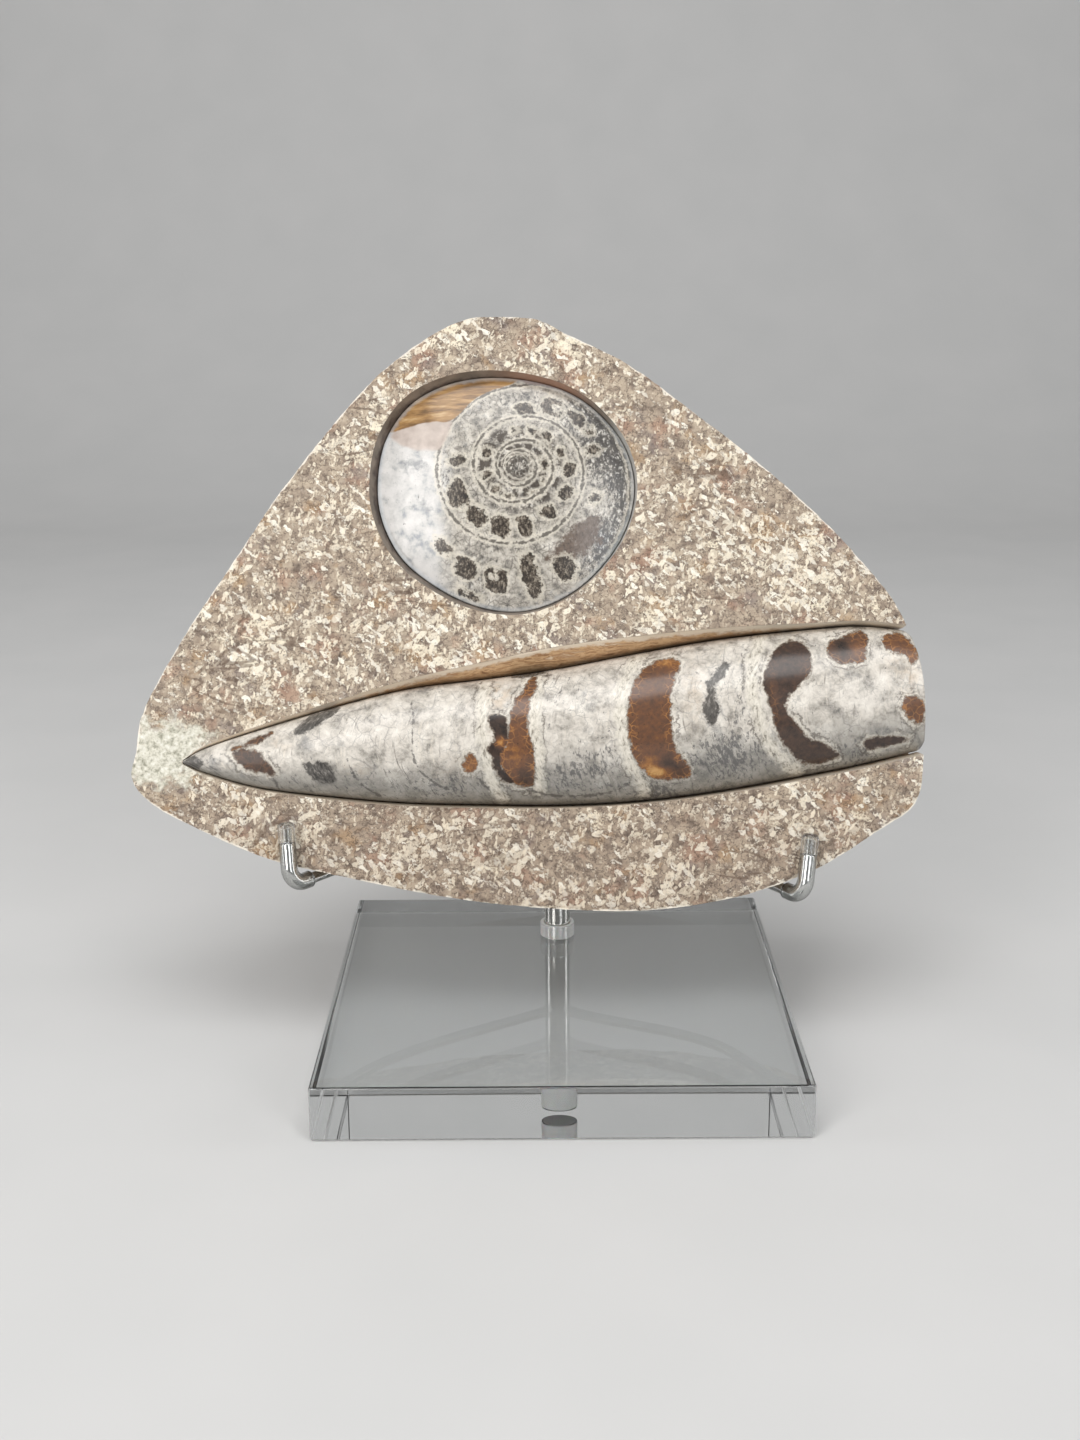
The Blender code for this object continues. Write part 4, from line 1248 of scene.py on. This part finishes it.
def steel_post(finish):
    foot = BLOCK_HEIGHT - BUSH_DEPTH + BUSH_FLOOR + GAP
    chamfer = 0.4
    ledges = np.linspace(POST_TOP - chamfer, foot + chamfer, 40)
    profile = [(0.02, POST_TOP), (POST_RADIUS - chamfer, POST_TOP)]
    profile += [(POST_RADIUS, z) for z in ledges]
    profile += [(POST_RADIUS - chamfer, foot), (0.02, foot)]
    turned("steel_post", profile, "post", "steel", finish)


def white_bush(finish):
    """The cup round the post's foot, with a softly rounded rim."""
    floor = BLOCK_HEIGHT - BUSH_DEPTH
    bore = POST_RADIUS + 0.06
    profile = [
        (0.02, floor), (BUSH_RADIUS - 0.4, floor), (BUSH_RADIUS, floor + 0.4),
        (BUSH_RADIUS, BLOCK_HEIGHT - 0.35), (BUSH_RADIUS - 0.12, BLOCK_HEIGHT - 0.1),
        (BUSH_RADIUS - 0.35, BLOCK_HEIGHT), (bore + 0.25, BLOCK_HEIGHT),
        (bore, BLOCK_HEIGHT - 0.25), (bore, floor + BUSH_FLOOR), (0.02, floor + BUSH_FLOOR),
    ]
    turned("white_bush", profile, "post_bush", "bush", finish)


def clear_cap(finish):
    """The soft cap on the post's upper end."""
    bore = POST_RADIUS - 0.05
    inside, top = POST_TOP + GAP, POST_TOP + GAP + 1.2
    rounding = 1.5
    profile = [(0.02, top)]
    profile += [
        (CAP_RADIUS - rounding * (1 - math.sin(turn)), top - rounding * (1 - math.cos(turn)))
        for turn in np.linspace(0, math.pi / 2, 8)
    ]
    foot = top - CAP_LENGTH
    profile += [(CAP_RADIUS, foot + 0.3), (CAP_RADIUS - 0.3, foot), (bore + 0.3, foot), (bore, foot + 0.2)]
    profile += [(bore, inside - 0.6), (bore - 0.6, inside), (0.02, inside)]
    turned("clear_cap", profile, "post_cap", "vinyl", finish)


def acrylic_block(finish):
    """The clear block, with flat polished edges and its bore tight on the bush."""
    mesh, shape = merged_copy("clear_block", "acrylic_block")
    axis = Vector((0, POST_Y * MM))
    for corner in shape.verts:
        if (corner.co.xy - axis).length < (BUSH_RADIUS + 1) * MM:
            corner.co.xy = axis + (corner.co.xy - axis).normalized() * (BUSH_RADIUS - 0.05) * MM
            corner.co.z = max(corner.co.z, (BLOCK_HEIGHT - BUSH_DEPTH + 0.05) * MM)
    shape.to_mesh(mesh)
    shape.free()
    mesh.shade_smooth()
    mesh.set_sharp_from_angle(angle=BLOCK_CREASE)
    stands_for(new_object("acrylic_block", mesh, finish), "clear_block")


def polished_steel():
    """Steel with fine polishing lines and a few dull smudges."""
    fin = Finish("polished steel", metallic=1.0)
    place = fin.stand_place()
    lines = fin.noise(fin.stretched(place, 6, 6, 0.25), 1.0, 3.0, 0.6)
    smudge = fin.noise(place, 9, 3.0)
    fin.set(
        base_color=fin.ramp(smudge, (0.35, 196, 194, 190), (0.7, 214, 213, 210)),
        roughness=fin.step(lines, 0.3, 0.8) * 0.10 + fin.step(smudge, 0.5, 0.75) * 0.08 + 0.09,
    )
    fin.bump(lines, 0.01, 0.3)
    return fin.material


def clear_vinyl():
    fin = Finish("clear vinyl", base_color=(240, 243, 244), transmission_weight=1.0, ior=1.5)
    place = fin.stand_place()
    fin.set(roughness=fin.step(fin.noise(place, 2.5, 3.0), 0.35, 0.75) * 0.08 + 0.04)
    fin.bump(fin.noise(place, 3.0, 2.0), 0.03, 0.3)
    return fin.material


def clear_acrylic():
    fin = Finish("clear acrylic", base_color=(250, 252, 252), transmission_weight=1.0, ior=1.49)
    place = fin.stand_place()
    fin.set(roughness=fin.step(fin.noise(place, 30, 3.0), 0.45, 0.8) * 0.012)
    return fin.material


def bush_plastic():
    fin = Finish("white bush plastic", subsurface_weight=0.15, subsurface_scale=0.002)
    place = fin.stand_place()
    tint = fin.noise(place, 4, 3.0)
    fin.set(
        base_color=fin.ramp(tint, (0.3, 244, 244, 242), (0.7, 252, 252, 251)),
        roughness=fin.step(tint, 0.3, 0.7) * 0.12 + 0.4,
    )
    fin.bump(fin.noise(place, 0.6, 2.0), 0.02, 0.4)
    return fin.material


def stand(steel, vinyl):
    wires = swept_wire()
    steel_post(steel)
    white_bush(bush_plastic())
    clear_cap(vinyl)
    for side, hook in HOOKS.items():
        steel_arm(side, hook, wires, steel)
        clear_sleeve(side, hook, vinyl)
    acrylic_block(clear_acrylic())


# The studio


def floor_and_sweep():
    """A pale floor that curves up to a wall behind the object."""
    half, back, bend_radius, wall = 3.0, 1.5, 0.6, 2.6
    profile = [(-half, 0)]
    profile += [
        (back - bend_radius + bend_radius * math.sin(turn), bend_radius * (1 - math.cos(turn)))
        for turn in np.linspace(0, math.pi / 2, 24)
    ]
    profile.append((back, wall))
    shape = bmesh.new()
    rows = [[shape.verts.new((x, y, z - FLOOR_GAP * MM)) for x in (-half, half)] for y, z in profile]
    for low, high in zip(rows, rows[1:]):
        shape.faces.new((low[0], low[1], high[1], high[0]))
    mesh = bpy.data.meshes.new("floor")
    shape.to_mesh(mesh)
    shape.free()
    mesh.shade_smooth()
    fin = Finish("floor paint", roughness=0.6, specular_ior_level=0.2)
    place = fin.stand_place()
    fin.set(base_color=fin.ramp(fin.noise(place, 60, 2.0), (0, 208, 208, 207), (1, 216, 215, 214)))
    new_object("floor", mesh, fin.material)


def soft_light(name, place, size, power, tint):
    """A rectangular softbox that faces the middle of the object, in metres and watts."""
    light = bpy.data.lights.new(name, "AREA")
    light.shape = "RECTANGLE"
    light.size, light.size_y = size
    light.energy = power
    light.color = tint
    lamp = bpy.data.objects.new(name, light)
    lamp.location = place
    lamp.rotation_euler = (Vector((0, 0, 0.1)) - Vector(place)).to_track_quat("-Z", "Y").to_euler()
    bpy.context.scene.collection.objects.link(lamp)


def studio():
    floor_and_sweep()
    soft_light("left window", (-0.67, -0.99, 0.62), (0.5, 1.0), 8.2, (1, 0.985, 0.965))
    soft_light("right window", (0.66, -1.0, 0.55), (0.4, 0.8), 3.6, (0.97, 0.985, 1))
    soft_light("left strip", (-1.0, 0.0, 0.3), (0.25, 0.9), 2.5, (1, 1, 1))
    soft_light("right strip", (1.0, 0.0, 0.3), (0.25, 0.9), 2.5, (1, 1, 1))
    soft_light("top", (0, -0.45, 1.4), (1.1, 0.7), 8.5, (1, 1, 1))
    world = bpy.data.worlds.new("studio air")
    bpy.context.scene.world = world
    world.use_nodes = True
    air = world.node_tree.nodes["Background"]
    air.inputs["Color"].default_value = (0.86, 0.87, 0.88, 1)
    air.inputs["Strength"].default_value = 0.36
    bpy.context.scene.view_settings.view_transform = "Standard"


def camera():
    data = bpy.data.cameras.new("photo view")
    data.lens = CAMERA_LENS
    data.clip_start, data.clip_end = 0.01, 20
    view = bpy.data.objects.new("photo view", data)
    pitched = Matrix.Rotation(math.pi / 2 + CAMERA_PITCH, 4, "X")
    view.matrix_world = Matrix.Translation(CAMERA_PLACE) @ pitched @ Matrix.Rotation(CAMERA_ROLL, 4, "Z")
    bpy.context.scene.collection.objects.link(view)
    bpy.context.scene.camera = view


def build():
    camera()
    studio()
    stone_slab(limestone())
    orthoceras_shell(shell_calcite())
    goniatite_disc(coil_calcite())
    stand(polished_steel(), clear_vinyl())


build()
